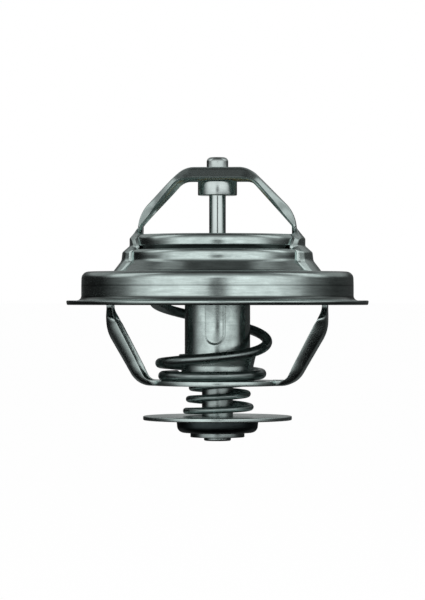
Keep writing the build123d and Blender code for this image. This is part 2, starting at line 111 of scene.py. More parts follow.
class HousingSizes(bpy.types.PropertyGroup):
    """Sizes of the drawn housing"""

    flange_radius: length("Flange radius", "Radius of the flange's edge", box_size("housing", 0) / 2)
    sheet: length("Sheet", "Thickness of the drawn sheet", 1.0 * MM)
    drum_radius: length("Drum radius", "Outer radius of the wide drum", 30.2 * MM)
    drum_height: length("Drum height", "Height of the drum's shoulder above the flange's underside", 7.4 * MM)
    crease_height: length("Crease height", "Height of the fine crease round the drum", 4.28 * MM)
    root_radius: length("Root radius", "Radius where the step's root meets the drum's shoulder", 22.05 * MM)
    root_height: length("Root height", "Height of the step's sloping root", 9.75 * MM)
    step_radius: length("Step radius", "Outer radius of the middle step", 20.05 * MM)
    step_height: length("Step height", "Height of the middle step", 12.3 * MM)
    ring_radius: length("Ring radius", "Outer radius of the top ring", 18.35 * MM)
    ring_height: length("Ring height", "Height of the top ring", box_size("housing", 2))
    groove: length("Groove", "Depth of the groove under the top ring", 0.75 * MM)
    groove_rise: length("Groove rise", "Height over which the groove runs out", 0.9 * MM)
    seat_radius: length("Seat radius", "Inner radius of the valve seat", 15.1 * MM)
    seat_drop: length("Seat drop", "Height of the turned-down seat", 2.3 * MM)


class BridgeSizes(bpy.types.PropertyGroup):
    """Sizes of the upper bridge"""

    height: length("Height", "Height of the crown above the flange's underside", heights("upper_bridge")[1])
    sheet: length("Sheet", "Thickness of the strap", 1.05 * MM)
    neck_sheet: length("Neck sheet", "Thickness of the drawn-out neck", 0.85 * MM)
    half_width: length("Half width", "Half of the strap's width", 5.5 * MM)
    depth: length("Depth", "Depth of the channel at the crown", 3.05 * MM)
    crown_half: length("Crown half length", "Half of the crown's length between its corners", 7.1 * MM)
    crown_bend: length("Crown bend", "Outer radius of the crown's corners", 5.0 * MM)
    edge_half: length("Free edge half length", "Half of the free edge's length under the crown", 7.85 * MM)
    edge_bend: length("Free edge bend", "Radius of the free edge's corners", 3.5 * MM)
    arm_bend: length("Arm bend", "Outer radius of the bend above the neck", 8.0 * MM)
    arm_corner: length("Arm corner", "Height of that bend's corner above the neck", 2.75 * MM)
    neck_radius: length("Neck radius", "Distance of the neck from the axis", 17.5 * MM)
    neck_rise: length("Neck rise", "Height of the neck's upper end above the ring", 1.8 * MM)
    neck_half: length("Neck half width", "Half of the neck's width", 2.4 * MM)
    narrowing_start: length("Narrowing start", "Distance from the axis where an arm begins to narrow", 10.0 * MM)
    foot_sheet: length("Foot sheet", "Thickness of a foot on the housing", 1.15 * MM)
    foot_half: length("Foot half width", "Largest half width of a foot", 9.2 * MM)
    foot_angle: tilt("Foot half angle", "Half of the angle that a foot wraps round the housing", 24.0)
    crown_slant: tilt("Crown slant", "Lean of the channel's sides at the crown", 48.0)
    arm_slant: tilt("Arm slant", "Lean of the channel's sides on the arms", 42.0)
    neck_slant: tilt("Neck slant", "Lean of the channel's sides at the neck", 60.0)


class BracketSizes(bpy.types.PropertyGroup):
    """Sizes of the lower bracket"""

    sheet: length("Sheet", "Thickness of the pressed sheet", 1.0 * MM)
    base_bottom: length("Base bottom", "Height of the base's underside", heights("lower_bracket")[0])
    base_radius: length("Base radius", "Radius of the base", box_size("lower_bracket", 1) / 2)
    flat_reach: length("Flat reach", "Distance from the axis where the base's flat turns into a leg", 15.0 * MM)
    neck_wall: length("Neck wall", "Wall of the drawn neck", 0.68 * MM)
    neck_length: length("Neck length", "Height of the neck above the base's underside", 6.9 * MM)
    neck_flare: length("Neck flare", "How far the neck opens at its top", 0.6 * MM)
    neck_gap: length("Neck gap", "Room between the neck and the element", 0.07 * MM)
    half_width: length("Half width", "Half of a leg's width", 5.5 * MM)
    shoulder: length("Shoulder", "Radius of a leg's rolled sides at the base", 2.2 * MM)
    shoulder_growth: length("Shoulder growth", "How much larger that radius is up the leg", 1.2 * MM)
    leg_radius: length("Leg radius", "Distance of a leg's outer face from the axis", 24.45 * MM)
    leg_corner: length("Leg corner", "Height of the corner under the tongue", -5.8 * MM)
    chord_radius: length("Chord radius", "Distance of the free edge from the axis, at chord height", 22.8 * MM)
    chord_height: length("Chord height", "Height at which that distance is measured", -2.2 * MM)
    tongue_half: length("Tongue half width", "Half of a tongue's width", 3.0 * MM)
    tongue_end: length("Tongue start", "Height at which a leg has narrowed to its tongue", -0.6 * MM)
    tongue_reach: length("Tongue reach", "How far a tongue turns out under the drum's shoulder", 3.8 * MM)
    slant: tilt("Slant", "Lean of a leg from upright", 30.3)
    chord_slant: tilt("Chord slant", "Lean of a leg's free edge from upright", 27.2)
    splay: bpy.props.FloatProperty(name="Splay", description="How far a leg's sides spread, per depth", default=0.2)


class ElementSizes(bpy.types.PropertyGroup):
    """Sizes of the wax element, its pin and the bush"""

    radius: length("Radius", "Radius of the element's body", 7.26 * MM)
    cup_bottom: length("Cup bottom", "Height of the cup's bottom", heights("element_cup")[0])
    cup_top: length("Cup top", "Height of the crimped rim's top", heights("element_cup")[1])
    cup_wall: length("Cup wall", "Wall of the cup", 0.95 * MM)
    cup_floor: length("Cup floor", "Thickness of the cup's floor", 1.2 * MM)
    rim_radius: length("Rim radius", "Radius of the crimped rim", box_size("element_cup", 0) / 2)
    rim_height: length("Rim height", "Height of the crimped rim", 3.6 * MM)
    rim_mouth: length("Rim mouth", "Radius inside the crimped rim", 6.9 * MM)
    rim_lip: length("Rim lip", "Thickness of the lip that is crimped over the guide", 0.8 * MM)
    field_width: length("Field width", "Width of the pressed field", 4.7 * MM)
    field_depth: length("Field depth", "Depth of the pressed field", 0.18 * MM)
    field_bottom: length("Field bottom", "Height of the field's lower end", -8.8 * MM)
    field_top: length("Field top", "Height of the field's upper end", 4.0 * MM)
    guide_radius: length("Guide radius", "Radius of the guide above the rim", 5.0 * MM)
    pin_radius: length("Pin radius", "Radius of the piston pin", box_size("piston_pin", 0) / 2)
    pin_gap: length("Pin gap", "Room between the pin and its guide", 0.03 * MM)
    collar_radius: length("Collar radius", "Radius of the bush's collar", box_size("pin_bush", 0) / 2)
    shoulder_radius: length("Shoulder radius", "Radius of the bush's shoulder inside the channel", 3.2 * MM)
    head_radius: length("Head radius", "Radius of the bush's riveted end", 2.4 * MM)


class SpringSizes(bpy.types.PropertyGroup):
    """Sizes of the two springs"""

    main_wire: length("Main wire", "Thickness of the main spring's wire", 2.2 * MM)
    main_radius: length("Main radius", "Coil radius at the lower end of the main spring", 10.9 * MM)
    main_growth: length("Main growth", "Growth of the coil radius in one turn", 1.3 * MM)
    main_offset: length("Main offset", "How far the coils lie off the axis", -1.15 * MM)
    bypass_wire: length("Bypass wire", "Thickness of the bypass spring's wire", 1.44 * MM)
    bypass_radius: length("Bypass radius", "Coil radius at the lower end of the bypass spring", 7.45 * MM)
    bypass_growth: length("Bypass growth", "Growth of the coil radius in one turn", -0.64 * MM)
    bypass_offset: length("Bypass offset", "How far the coils lie off the axis", 0.35 * MM)


class Finishes(bpy.types.PropertyGroup):
    """Colours of the materials"""

    sheet_steel: colour("Sheet steel", "Colour of the drawn and pressed steel", "#D3E3E0")
    turned_steel: colour("Turned steel", "Colour of the turned steel", "#D6E2E0")
    # Painted shade: darker than the turned steel, for the stem's shade under the disc and the base; the washer has it
    # too
    stem_shade_and_washer_steel: colour("Stem shade steel", "Colour of the bypass stem", "#A7B3B1")
    spring_steel: colour("Spring steel", "Colour of the spring wire", "#A2B0AE")
    black_steel: colour("Black steel", "Colour of the phosphated pressings", "#4B5556")
    brass: colour("Brass", "Colour of the turned brass", "#D9BE82")
    rubber: colour("Rubber", "Colour of the rubber", "#16191A")
    plastic: colour("Plastic", "Colour of the backup ring", "#E4E2DA")
    wax: colour("Wax", "Colour of the wax", "#A5744F")


class Studio(bpy.types.PropertyGroup):
    """Places of the camera, the floor and the tent"""

    camera_turn: tilt("Camera turn", "Angle of the camera round the axis", 5.0)
    distance: length("Distance", "Distance of the camera from the axis", 0.7)
    view_height: length("View height", "Height that the picture covers at the axis", 133.07 * MM)
    aim_right: length("Aim right", "How far right of the axis the camera aims", -1.1 * MM)
    aim_up: length("Aim up", "Height at which the camera aims", 1.1 * MM)
    floor_height: length("Floor height", "Height of the floor", -95.0 * MM)
    tent_radius: length("Tent radius", "Distance of the tent's cloth from the axis", 0.6)
    pale_tone: bpy.props.FloatProperty(
        name="Pale tone", description="Display level of the tent's pale cloth that the tables refer to", default=210.0
    )


SIZES = {
    "housing": HousingSizes,
    "bridge": BridgeSizes,
    "bracket": BracketSizes,
    "element": ElementSizes,
    "springs": SpringSizes,
    "finishes": Finishes,
    "studio": Studio,
}


def sizes(name):
    """One of the scene's groups of sizes or colours."""
    return getattr(bpy.context.scene, "thermostat_" + name)


# Lines and sections


def rounded(points, bends, steps=BEND_STEPS):
    """Points of a polyline with rounded corners.

    At a corner with turn a and radius r the arc starts r*tan(a/2) before the corner. Its centre lies
    on the inner side, at r from the run, and the arc's points are centre + r*(cos, sin) of evenly
    spaced angles.
    """
    points = np.asarray(points, float)
    result = [points[:1]]
    for before, here, after, bend in zip(points, points[1:], points[2:], bends):
        if bend <= 0:
            result.append(here[None])
            continue
        first = (here - before) / np.linalg.norm(here - before)
        second = (after - here) / np.linalg.norm(after - here)
        turn = math.atan2(first[0] * second[1] - first[1] * second[0], first @ second)
        side = np.array([-first[1], first[0]]) * math.copysign(1, turn)
        centre = here - first * bend * math.tan(abs(turn) / 2) + side * bend
        angles = math.atan2(-side[1], -side[0]) + np.linspace(0, turn, steps + 1)
        result.append(centre + bend * np.stack((np.cos(angles), np.sin(angles)), -1))
    result.append(points[-1:])
    return np.concatenate(result)


def unit(vectors):
    """The same directions, each with length 1."""
    return vectors / np.linalg.norm(vectors, axis=1)[:, None]


def sheet_loop(points, bends, sheet):
    """Closed section of a bent sheet: the rounded line, and back along the same line moved left by the sheet.

    A moved corner is p + sheet*(n1 + n2)/(1 + n1.n2), with n1 and n2 the left normals of its two runs. Its
    radius is the outer one less the sheet where the corner turns left, and the outer one plus the sheet where
    it turns right.
    """
    points = np.asarray(points, float)
    runs = unit(np.diff(points, axis=0))
    normals = np.stack((-runs[:, 1], runs[:, 0]), -1)
    mitre = (normals[:-1] + normals[1:]) / (1 + (normals[:-1] * normals[1:]).sum(1))[:, None]
    moved = points + sheet * np.concatenate((normals[:1], mitre, normals[-1:]))
    turns = runs[:-1, 0] * runs[1:, 1] - runs[:-1, 1] * runs[1:, 0]
    inner = np.maximum(np.asarray(bends, float) - np.sign(turns) * sheet, 0)
    return np.concatenate((rounded(points, bends), rounded(moved, inner)[::-1]))


def dense(points, step):
    """A polyline with more points, so that no gap is longer than the step. The corners stay."""
    gaps = np.linalg.norm(np.diff(points, axis=0), axis=1)
    distance = np.concatenate(([0], np.cumsum(gaps)))
    counts = np.maximum(np.ceil(gaps / step).astype(int), 1)
    parts = [np.linspace(a, b, n, endpoint=False) for a, b, n in zip(distance, distance[1:], counts)]
    return at_spots(points, np.append(np.concatenate(parts), distance[-1]), distance)


def spaced(line, count):
    """The same line with count points put evenly into each of its straight runs, which are its long gaps.

    Two lines that have the same number of runs and arcs keep their points opposite each other.
    """
    arc = BEND_STEPS + 1
    spots = [np.linspace(i, i + 1, 1 if i % arc else count, endpoint=False) for i in range(len(line) - 1)]
    return at_spots(line, np.append(np.concatenate(spots), len(line) - 1), np.arange(len(line)))


def at_spots(line, spots, marks):
    """Points of a line at the spots, where marks gives the spot of each of its own points."""
    return np.stack([np.interp(spots, marks, line[:, i]) for i in range(2)], -1)


def smooth(value, start, end):
    """0 before start, 1 after end and t*t*(3 - 2*t) between, t the share of the way. Start may be above end."""
    t = np.clip((value - start) / (end - start), 0, 1)
    return t * t * (3 - 2 * t)


def eased(values, reach):
    """A running mean over reach points, with the ends held."""
    padded = np.pad(values, reach // 2, mode="edge")
    return np.convolve(padded, np.ones(reach) / reach, mode="valid")


# Surfaces


def revolve(section, steps=ROUND_STEPS):
    """Surface of revolution: the point (r, z) of the section at angle a is (r*cos a, r*sin a, z)."""
    angle = np.linspace(0, 2 * math.pi, steps, endpoint=False)
    radius, height = np.asarray(section, float).T
    x = np.outer(np.cos(angle), radius)
    y = np.outer(np.sin(angle), radius)
    return np.stack((x, y, np.broadcast_to(height, x.shape)), -1)


def closed_section(outer_y, outer_q, inner_y, inner_q):
    """Whole sections out of their right halves: along the outside from left to right, and back inside."""
    y = np.concatenate((-outer_y[:, ::-1], outer_y[:, 1:], inner_y[:, ::-1], -inner_y[:, 1:]), 1)
    q = np.concatenate((outer_q[:, ::-1], outer_q[:, 1:], inner_q[:, ::-1], inner_q[:, 1:]), 1)
    return y, q


def capped(grid):
    """A tube with its ends closed: each end gets a row of equal points in the middle of its last ring."""
    ends = grid.mean(1, keepdims=True) + np.zeros_like(grid)
    return np.concatenate((ends[:1], grid, ends[-1:]))


def grid_faces(rows, columns, close_rows, close_columns):
    """Quads between neighbours of a grid, as indices into its points taken row by row."""
    last_row, last_column = rows if close_rows else rows - 1, columns if close_columns else columns - 1
    u, v = np.meshgrid(np.arange(last_row), np.arange(last_column), indexing="ij")
    u_next, v_next = (u + 1) % rows, (v + 1) % columns
    corners = (u * columns + v, u_next * columns + v, u_next * columns + v_next, u * columns + v_next)
    return np.stack(corners, -1).reshape(-1, 4)


def surface_mesh(name, grids):
    """One mesh out of several grids, each (points, close rows, close columns).

    Seams and poles are closed, faces without area are dropped and every face is turned outwards.
    """
    points, faces, count = [], [], 0
    for grid, close_rows, close_columns in grids:
        faces.append(grid_faces(*grid.shape[:2], close_rows, close_columns) + count)
        points.append(grid.reshape(-1, 3))
        count += len(points[-1])
    mesh = bpy.data.meshes.new(name)
    mesh.from_pydata(np.concatenate(points).tolist(), [], np.concatenate(faces).tolist())
    weld = 0.0005 * MM
    work = bmesh.new()
    work.from_mesh(mesh)
    bmesh.ops.remove_doubles(work, verts=work.verts, dist=weld)
    bmesh.ops.dissolve_degenerate(work, edges=work.edges, dist=weld)
    bmesh.ops.recalc_face_normals(work, faces=work.faces)
    work.to_mesh(mesh)
    work.free()
    return mesh


def placed(name, data):
    """A new object, linked to the scene."""
    made = bpy.data.objects.new(name, data)
    bpy.context.scene.collection.objects.link(made)
    return made


def add_piece(name, grids, body, packed, slot, look, sharp=40.0, edge=0.0):
    """A finished piece: smooth faces, sharp edges by angle, an optional edge break, its body and look. The slot is not
    used.
    """
    mesh = surface_mesh(name, grids)
    mesh.polygons.foreach_set("use_smooth", np.ones(len(mesh.polygons), bool))
    mesh.set_sharp_from_angle(angle=math.radians(sharp))
    mesh.materials.append(material_of(look))
    piece = placed(name, mesh)
    if edge:
        bevel = piece.modifiers.new("edge_break", "BEVEL")
        bevel.width = edge
        bevel.segments = 2
        bevel.limit_method = "ANGLE"
        bevel.angle_limit = math.radians(sharp)
        bevel.use_clamp_overlap = True
    piece.modifiers.new("even_shading", "WEIGHTED_NORMAL").keep_sharp = not edge
    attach(piece, body)
    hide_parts(packed)
    return piece


def turned_piece(name, section, body, packed, slot, look, edge=0.0, steps=ROUND_STEPS):
    """A piece of revolution from a closed section of (r, z) points."""
    return add_piece(name, [(revolve(section, steps), True, True)], body, packed, slot, look, edge=edge)


def flat_ring(name, inner, bend, body, packed, slot, look):
    """A flat ring as wide and thick as a packed node, with its outer edges rounded."""
    low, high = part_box(packed)
    line = rounded([(inner, low.z), (high.x, low.z), (high.x, high.z), (inner, high.z)], [bend, bend])
    turned_piece(name, dense(line, (high.x - inner) / 6), body, packed, slot, look)


# Materials


def node(tree, kind, settings=None, **inputs):
    """Adds a shader node. Settings are its properties, and inputs are values or the outputs that feed them.

    An input is called by its name, with _ for a space, or by i and its number.
    """
    made = tree.nodes.new("ShaderNode" + kind)
    for name, value in (settings or {}).items():
        setattr(made, name, value)
    for name, value in inputs.items():
        numbered = name[0] == "i" and name[1:].isdigit()
        socket = made.inputs[int(name[1:]) if numbered else name.replace("_", " ")]
        if isinstance(value, bpy.types.NodeSocket):
            tree.links.new(value, socket)
        else:
            socket.default_value = value
    return made


# Colour in Finishes, roughness and its spread, pitch and depth of the lines (pitch 0 gives a fine scatter of marks
# instead), size and depth of the clouds, depth of the dents, and whether painted shade darkens its creases. Lengths are
# in mm.
METALS = {
    # Stainless sheet, deep drawn and faced: cool grey, faint lines round the axis, soft gloss, painted shade in its
    # creases
    "drawn_stainless_sheet": ("sheet_steel", 0.20, 0.05, 0.30, 0.007, 5.0, 0.12, 0.016, True),
    # Stainless sheet, pressed and tumbled: cool grey with a fine scatter of marks and soft dents
    "pressed_stainless_strap": ("sheet_steel", 0.27, 0.07, 0, 0.012, 5.0, 0.12, 0.02, False),
    # Bar steel, turned: clear lines round the axis
    "turned_bar_steel": ("turned_steel", 0.22, 0.06, 0.22, 0.012, 4.0, 0.10, 0, False),
    # Bar steel of the bypass stem and the washer, turned: darker than the bare bush, as painted shade on the stem under
    # the disc and the base
    "oiled_bar_steel": ("stem_shade_and_washer_steel", 0.24, 0.06, 0.22, 0.012, 3.0, 0.15, 0, False),
    # Hardened pin, ground and polished: bright, with almost no lines
    "ground_hardened_steel": ("turned_steel", 0.14, 0.03, 0.12, 0.002, 6.0, 0.04, 0, False),
    # Cup of the element, drawn and tumbled: satin, with faint lines round it and soft dents
    "satin_drawn_cup": ("sheet_steel", 0.24, 0.08, 0.45, 0.008, 3.0, 0.16, 0.015, False),
    # Patented spring wire, drawn and oiled: dark grey with a soft gloss
    "drawn_spring_wire": ("spring_steel", 0.30, 0.08, 0, 0.008, 2.5, 0.18, 0, False),
    # Phosphated steel: nearly black, with a dull gloss
    "phosphated_steel": ("black_steel", 0.36, 0.06, 0, 0.010, 3.0, 0.15, 0, False),
    # Brass, turned: yellow, with lines round the axis
    "turned_brass": ("brass", 0.24, 0.06, 0.22, 0.012, 4.0, 0.12, 0, False),
}

# Colour in Finishes, roughness in the grain's pits and on its tops, grain in mm and its detail, the tones of the
# pits and tops, and the relief's depth in mm and strength
SOFT_SOLIDS = {
    # Rubber, moulded: black and dull, with a fine grain of about a fifth of a millimetre
    "moulded_rubber": ("rubber", (0.62, 0.5), 0.2, 3.0, (0.8, 1.25), 0.02, 0.5),
    # Hard white plastic, machined: even and half dull
    "machined_white_plastic": ("plastic", (0.45, 0.45), 0.5, 4.0, (0.85, 1.1), 0.01, 0.4),
    # Wax filled with copper powder and pressed: brown and grainy
    "pressed_copper_wax": ("wax", (0.6, 0.6), 0.3, 4.0, (0.85, 1.1), 0.01, 0.4),
}

# Painted shade in the housing's creases and along the flange's lower edge: height of the middle, half height, share of
# the tone left
CREASE_SHADE_BANDS = ((0.15, 0.2, 0.6), (1.6, 0.3, 0.25), (4.28, 0.06, 0.55), (8.35, 1.3, 0.62), (12.7, 0.36, 0.2))
CREASE_SHADE_FADE = 0.2 * MM
PATTERN_TOP = 20 * MM
STREAK_PITCH = 0.55 * MM  # faint streaks of drawing oil round the housing
MARK_SIZE = 0.25 * MM  # tumbling marks, drawn as coarse as they need to show
DENT_SIZE = 2.2 * MM
NOISE = {"From_Min": 0.3, "From_Max": 0.7}  # nearly all values of a noise lie between these

MADE = {}


def material_of(name):
    """The material of that name, made once and used again."""
    if name not in MADE:
        MADE[name] = metal(name, *METALS[name]) if name in METALS else soft_solid(name, *SOFT_SOLIDS[name])
    return MADE[name]


def new_material(name):
    """An empty node material and its tree."""
    material = bpy.data.materials.new(name)
    material.use_nodes = True
    material.node_tree.nodes.clear()
    return material, material.node_tree


def turning_lines(tree, pitch, breaks=0.6):
    """Lines round the axis, as a turning tool or a drawing die leaves them, repeated at about the pitch.

    It is a noise read at (distance from the axis, angle*breaks*pitch, height), so that breaks is how often a
    line changes in one radian.
    """
    parts = node(tree, "SeparateXYZ", i0=node(tree, "TexCoord").outputs["Object"]).outputs
    flat = node(tree, "CombineXYZ", i0=parts[0], i1=parts[1])
    radius = node(tree, "VectorMath", {"operation": "LENGTH"}, i0=flat.outputs[0]).outputs["Value"]
    angle = node(tree, "Math", {"operation": "ARCTAN2"}, i0=parts[1], i1=parts[0]).outputs[0]
    slow = node(tree, "Math", {"operation": "MULTIPLY"}, i0=angle, i1=breaks * pitch).outputs[0]
    spot = node(tree, "CombineXYZ", i0=radius, i1=slow, i2=parts[2]).outputs[0]
    return node(tree, "TexNoise", Vector=spot, Scale=1 / pitch, Detail=3.0, Roughness=0.6).outputs["Fac"]


def painted_crease_shade_tones(tree, place):
    """Painted shade by height: tone 1, and in a crease the darker tone that the crease table gives, with soft edges."""
    height = node(tree, "SeparateXYZ", i0=place).outputs[2]
    share = node(tree, "Math", {"operation": "DIVIDE"}, i0=height, i1=PATTERN_TOP).outputs[0]
    ramp = node(tree, "ValToRGB", Fac=share)
    stops = ramp.color_ramp.elements
    stops.remove(stops[0])
    stops[0].position = 1
    for middle, half, level in CREASE_SHADE_BANDS:
        low, high = (middle - half) * MM, (middle + half) * MM
        for rise, tone in ((low - CREASE_SHADE_FADE, 1), (low, level), (high, level), (high + CREASE_SHADE_FADE, 1)):
            if rise > 0:
                stops.new(rise / PATTERN_TOP).color = (tone, tone, tone, 1)
    return ramp.outputs[0]


def metal(name, tint, roughness, spread, lines, line_depth, cloud, cloud_depth, dents, crease_shade_and_streaks):
    """A bare metal. Lines are a fine relief, and clouds change its tone and gloss over a few millimetres.

    The tone is the tint times 1 - cloud_depth to 1 + cloud_depth/2, and the gloss is the roughness plus or
    minus the spread. The housing's sheet gets painted shade in its creases.
    """
    material, tree = new_material(name)
    place = node(tree, "TexCoord").outputs["Object"]
    clouds = node(tree, "TexNoise", Vector=place, Scale=1 / (cloud * MM), Detail=4.0, Roughness=0.62).outputs["Fac"]
    if lines:
        fine = turning_lines(tree, lines * MM)
    else:
        fine = node(tree, "TexNoise", Vector=place, Scale=1 / MARK_SIZE, Detail=3.0, Roughness=0.6).outputs["Fac"]
    tones = [
        node(tree, "MapRange", Value=clouds, To_Min=1 - cloud_depth, To_Max=1 + cloud_depth / 2, **NOISE),
        node(tree, "MapRange", Value=fine, To_Min=1 - spread, To_Max=1 + spread / 2, **NOISE),
    ]
    tone = node(tree, "Math", {"operation": "MULTIPLY"}, i0=tones[0].outputs[0], i1=tones[1].outputs[0]).outputs[0]
    # Painted shade darkens the housing's creases, and faint streaks run round it
    if crease_shade_and_streaks:
        streaks = node(tree, "MapRange", Value=turning_lines(tree, STREAK_PITCH, 6.0), To_Min=0.8, To_Max=1.12, **NOISE)
        for level in (painted_crease_shade_tones(tree, place), streaks.outputs[0]):
            tone = node(tree, "Math", {"operation": "MULTIPLY"}, i0=tone, i1=level).outputs[0]
    base = node(tree, "VectorMath", {"operation": "SCALE"}, i0=tuple(getattr(sizes("finishes"), tint)), Scale=tone)
    gloss = node(tree, "MapRange", Value=clouds, To_Min=roughness + spread, To_Max=roughness - spread, **NOISE)
    relief = node(tree, "Bump", Height=fine, Distance=line_depth * MM, Strength=0.6).outputs[0]
    if dents:
        soft = node(tree, "TexNoise", Vector=place, Scale=1 / DENT_SIZE, Detail=2.0).outputs["Fac"]
        relief = node(tree, "Bump", Height=soft, Distance=dents * MM, Strength=0.5, Normal=relief).outputs[0]
    surface = node(
        tree, "BsdfPrincipled", Base_Color=base.outputs[0], Metallic=1.0, Roughness=gloss.outputs[0], Normal=relief
    )
    node(tree, "OutputMaterial", Surface=surface.outputs[0])
    return material


def soft_solid(name, tint, gloss, grain, detail, tones, depth, strength):
    """A non-metal with a grain that changes its tone and gloss a little."""
    material, tree = new_material(name)
    place = node(tree, "TexCoord").outputs["Object"]
    pattern = node(tree, "TexNoise", Vector=place, Scale=1 / (grain * MM), Detail=detail).outputs["Fac"]
    tone = node(tree, "MapRange", Value=pattern, To_Min=tones[0], To_Max=tones[1], **NOISE).outputs[0]
    base = node(tree, "VectorMath", {"operation": "SCALE"}, i0=tuple(getattr(sizes("finishes"), tint)), Scale=tone)
    dull = node(tree, "MapRange", Value=pattern, To_Min=gloss[0], To_Max=gloss[1], **NOISE).outputs[0]
    relief = node(tree, "Bump", Height=pattern, Distance=depth * MM, Strength=strength).outputs[0]
    surface = node(tree, "BsdfPrincipled", Base_Color=base.outputs[0], Roughness=dull, Normal=relief)
    node(tree, "OutputMaterial", Surface=surface.outputs[0])
    return material


# Pieces


class MakeHousing(bpy.types.Operator):
    """Make the drawn housing from the flange to the valve seat"""

    bl_idname = "thermostat.make_housing"
    bl_label = "Housing"

    def execute(self, context):
        s = sizes("housing")
        lean, straight = 0.09 * MM, 1.5 * MM
        points = [
            (s.flange_radius - 0.25 * MM, s.sheet),
            (s.drum_radius, s.sheet),
            (s.drum_radius, s.crease_height),
            (s.drum_radius - lean, s.drum_height),
            (s.root_radius, s.drum_height),
            (s.step_radius, s.root_height),
            (s.step_radius, s.step_height - straight),
            (s.step_radius - lean, s.step_height),
            (s.ring_radius - s.groove, s.step_height),
            (s.ring_radius, s.step_height + s.groove_rise),
            (s.ring_radius, s.ring_height - straight),
            (s.ring_radius - lean, s.ring_height),
            (s.seat_radius, s.ring_height),
            (s.seat_radius, s.ring_height - s.seat_drop),
        ]
        bends = np.array([1.05, 0.0, 1.6, 1.0, 1.4, 4.0, 1.0, 0.0, 0.4, 4.0, 1.2, 1.0]) * MM
        loop = sheet_loop(points, bends, s.sheet)[:-1]
        # The flange's edge is sheared: its lower part is drawn in along an arc
        pull, arc_top = 2.0 * MM, 0.8 * MM
        steep = np.radians(np.linspace(-22, 0, 8))
        rim = np.stack((s.flange_radius - pull * (1 - np.cos(steep)), arc_top + pull * np.sin(steep)), -1)
        foot, brow = (s.flange_radius - 0.35 * MM, 0), (s.flange_radius - 0.05 * MM, s.sheet - 0.05 * MM)
        loop = np.concatenate((loop, [foot], rim, [brow]))
        turned_piece(
            "housing_shell", loop, "frame", "housing", "drawn_steel", "drawn_stainless_sheet", edge=0.08 * MM, steps=320
        )
        return {"FINISHED"}


class MakeBridge(bpy.types.Operator):
    """Make the upper bridge: crown, arms, necks and the feet that wrap the housing"""

    bl_idname = "thermostat.make_bridge"
    bl_label = "Upper bridge"

    def execute(self, context):
        s, h = sizes("bridge"), sizes("housing")
        neck = h.ring_height + s.neck_rise
        foot_top = neck - 0.3 * MM
        inside = s.neck_radius - s.neck_sheet
        edge = s.height - s.depth
        # Crown and arm, down to the neck: the outer line, and the free edge that faces it
        fine = 24
        outer = rounded(
            [(0, s.height), (s.crown_half, s.height), (s.neck_radius, neck + s.arm_corner),
             (s.neck_radius, h.ring_height)],
            [s.crown_bend, s.arm_bend],
            fine,
        )
        outer = dense(outer, 0.3 * MM)
        outer = outer[outer[:, 1] > neck + 0.05 * MM]
        free_edge = [(-MM, edge), (s.edge_half, edge), (inside, neck), (inside, h.ring_height)]
        inner = opposite(outer, rounded(free_edge, [s.edge_bend, 0.6 * MM], fine))
        # Foot: its outside, and the inside that lies on the ring, the step and the step's root
        ring, step = h.ring_radius + s.foot_sheet, h.step_radius + s.foot_sheet
        foot_outer = [
            (s.neck_radius, neck), (s.neck_radius, foot_top), (ring, h.ring_height - 0.9 * MM),
            (ring, h.step_height + 0.75 * MM), (step - 0.1 * MM, h.step_height - 0.65 * MM),
            (step + 0.1 * MM, h.drum_height + 2.4 * MM), (step + 1.9 * MM, h.drum_height + 0.05 * MM),
        ]
        ring, step = h.ring_radius + SKIN, h.step_radius + SKIN
        foot_inner = [
            (inside, neck), (inside, h.ring_height + SKIN), (ring, h.ring_height + SKIN),
            (ring, h.step_height + SKIN), (step, h.step_height + SKIN), (step, h.root_height),
            (h.root_radius, h.drum_height + SKIN),
        ]
        foot_outer = spaced(rounded(foot_outer, np.array([0.8, 0.9, 0.5, 0.7, 1.6]) * MM), 6)
        foot_inner = spaced(rounded(foot_inner, np.array([0.3, 1.2, 0.5, 1.0, 1.2]) * MM), 6)
        outer, inner = np.concatenate((outer, foot_outer)), np.concatenate((inner, foot_inner))
        # Width, slant and sheet at each point of the line
        on_foot = np.arange(len(outer)) >= len(outer) - len(foot_outer)
        x, z = outer[:, 0], outer[:, 1]
        depth = np.linalg.norm(inner - outer, axis=1)
        slope = (s.foot_half - s.neck_half) / (foot_top - (h.ring_height - 2.6 * MM))
        spread = s.neck_half + np.maximum(foot_top - z, 0) * slope
        foot_width = np.minimum(np.minimum(spread, x * math.sin(s.foot_angle)), s.foot_half)
        narrow = smooth(x, s.neck_radius + 0.4 * MM, s.narrowing_start)
        arm_width = s.neck_half + (s.half_width - s.neck_half) * narrow
        width = eased(np.where(on_foot, foot_width, arm_width), 7)
        off_crown = smooth(x, s.crown_half - 2 * MM, s.crown_half + 2 * MM)
        slant = s.crown_slant + (s.arm_slant - s.crown_slant) * off_crown
        slant = slant + (s.neck_slant - slant) * smooth(z, neck + 7 * MM, neck + 3.5 * MM)
        sheet = np.where(on_foot, depth, np.minimum(s.sheet, depth))
        half = strap(outer, inner, width, slant, sheet, smooth(z, neck, h.ring_height))
        grid = capped(np.concatenate((half[:0:-1] * (-1, 1, 1), half)))
        add_piece(
            "bridge_strap", [(grid, False, True)], "frame", "upper_bridge", "pressed_steel", "pressed_stainless_strap",
            sharp=42, edge=0.12 * MM
        )
        return {"FINISHED"}


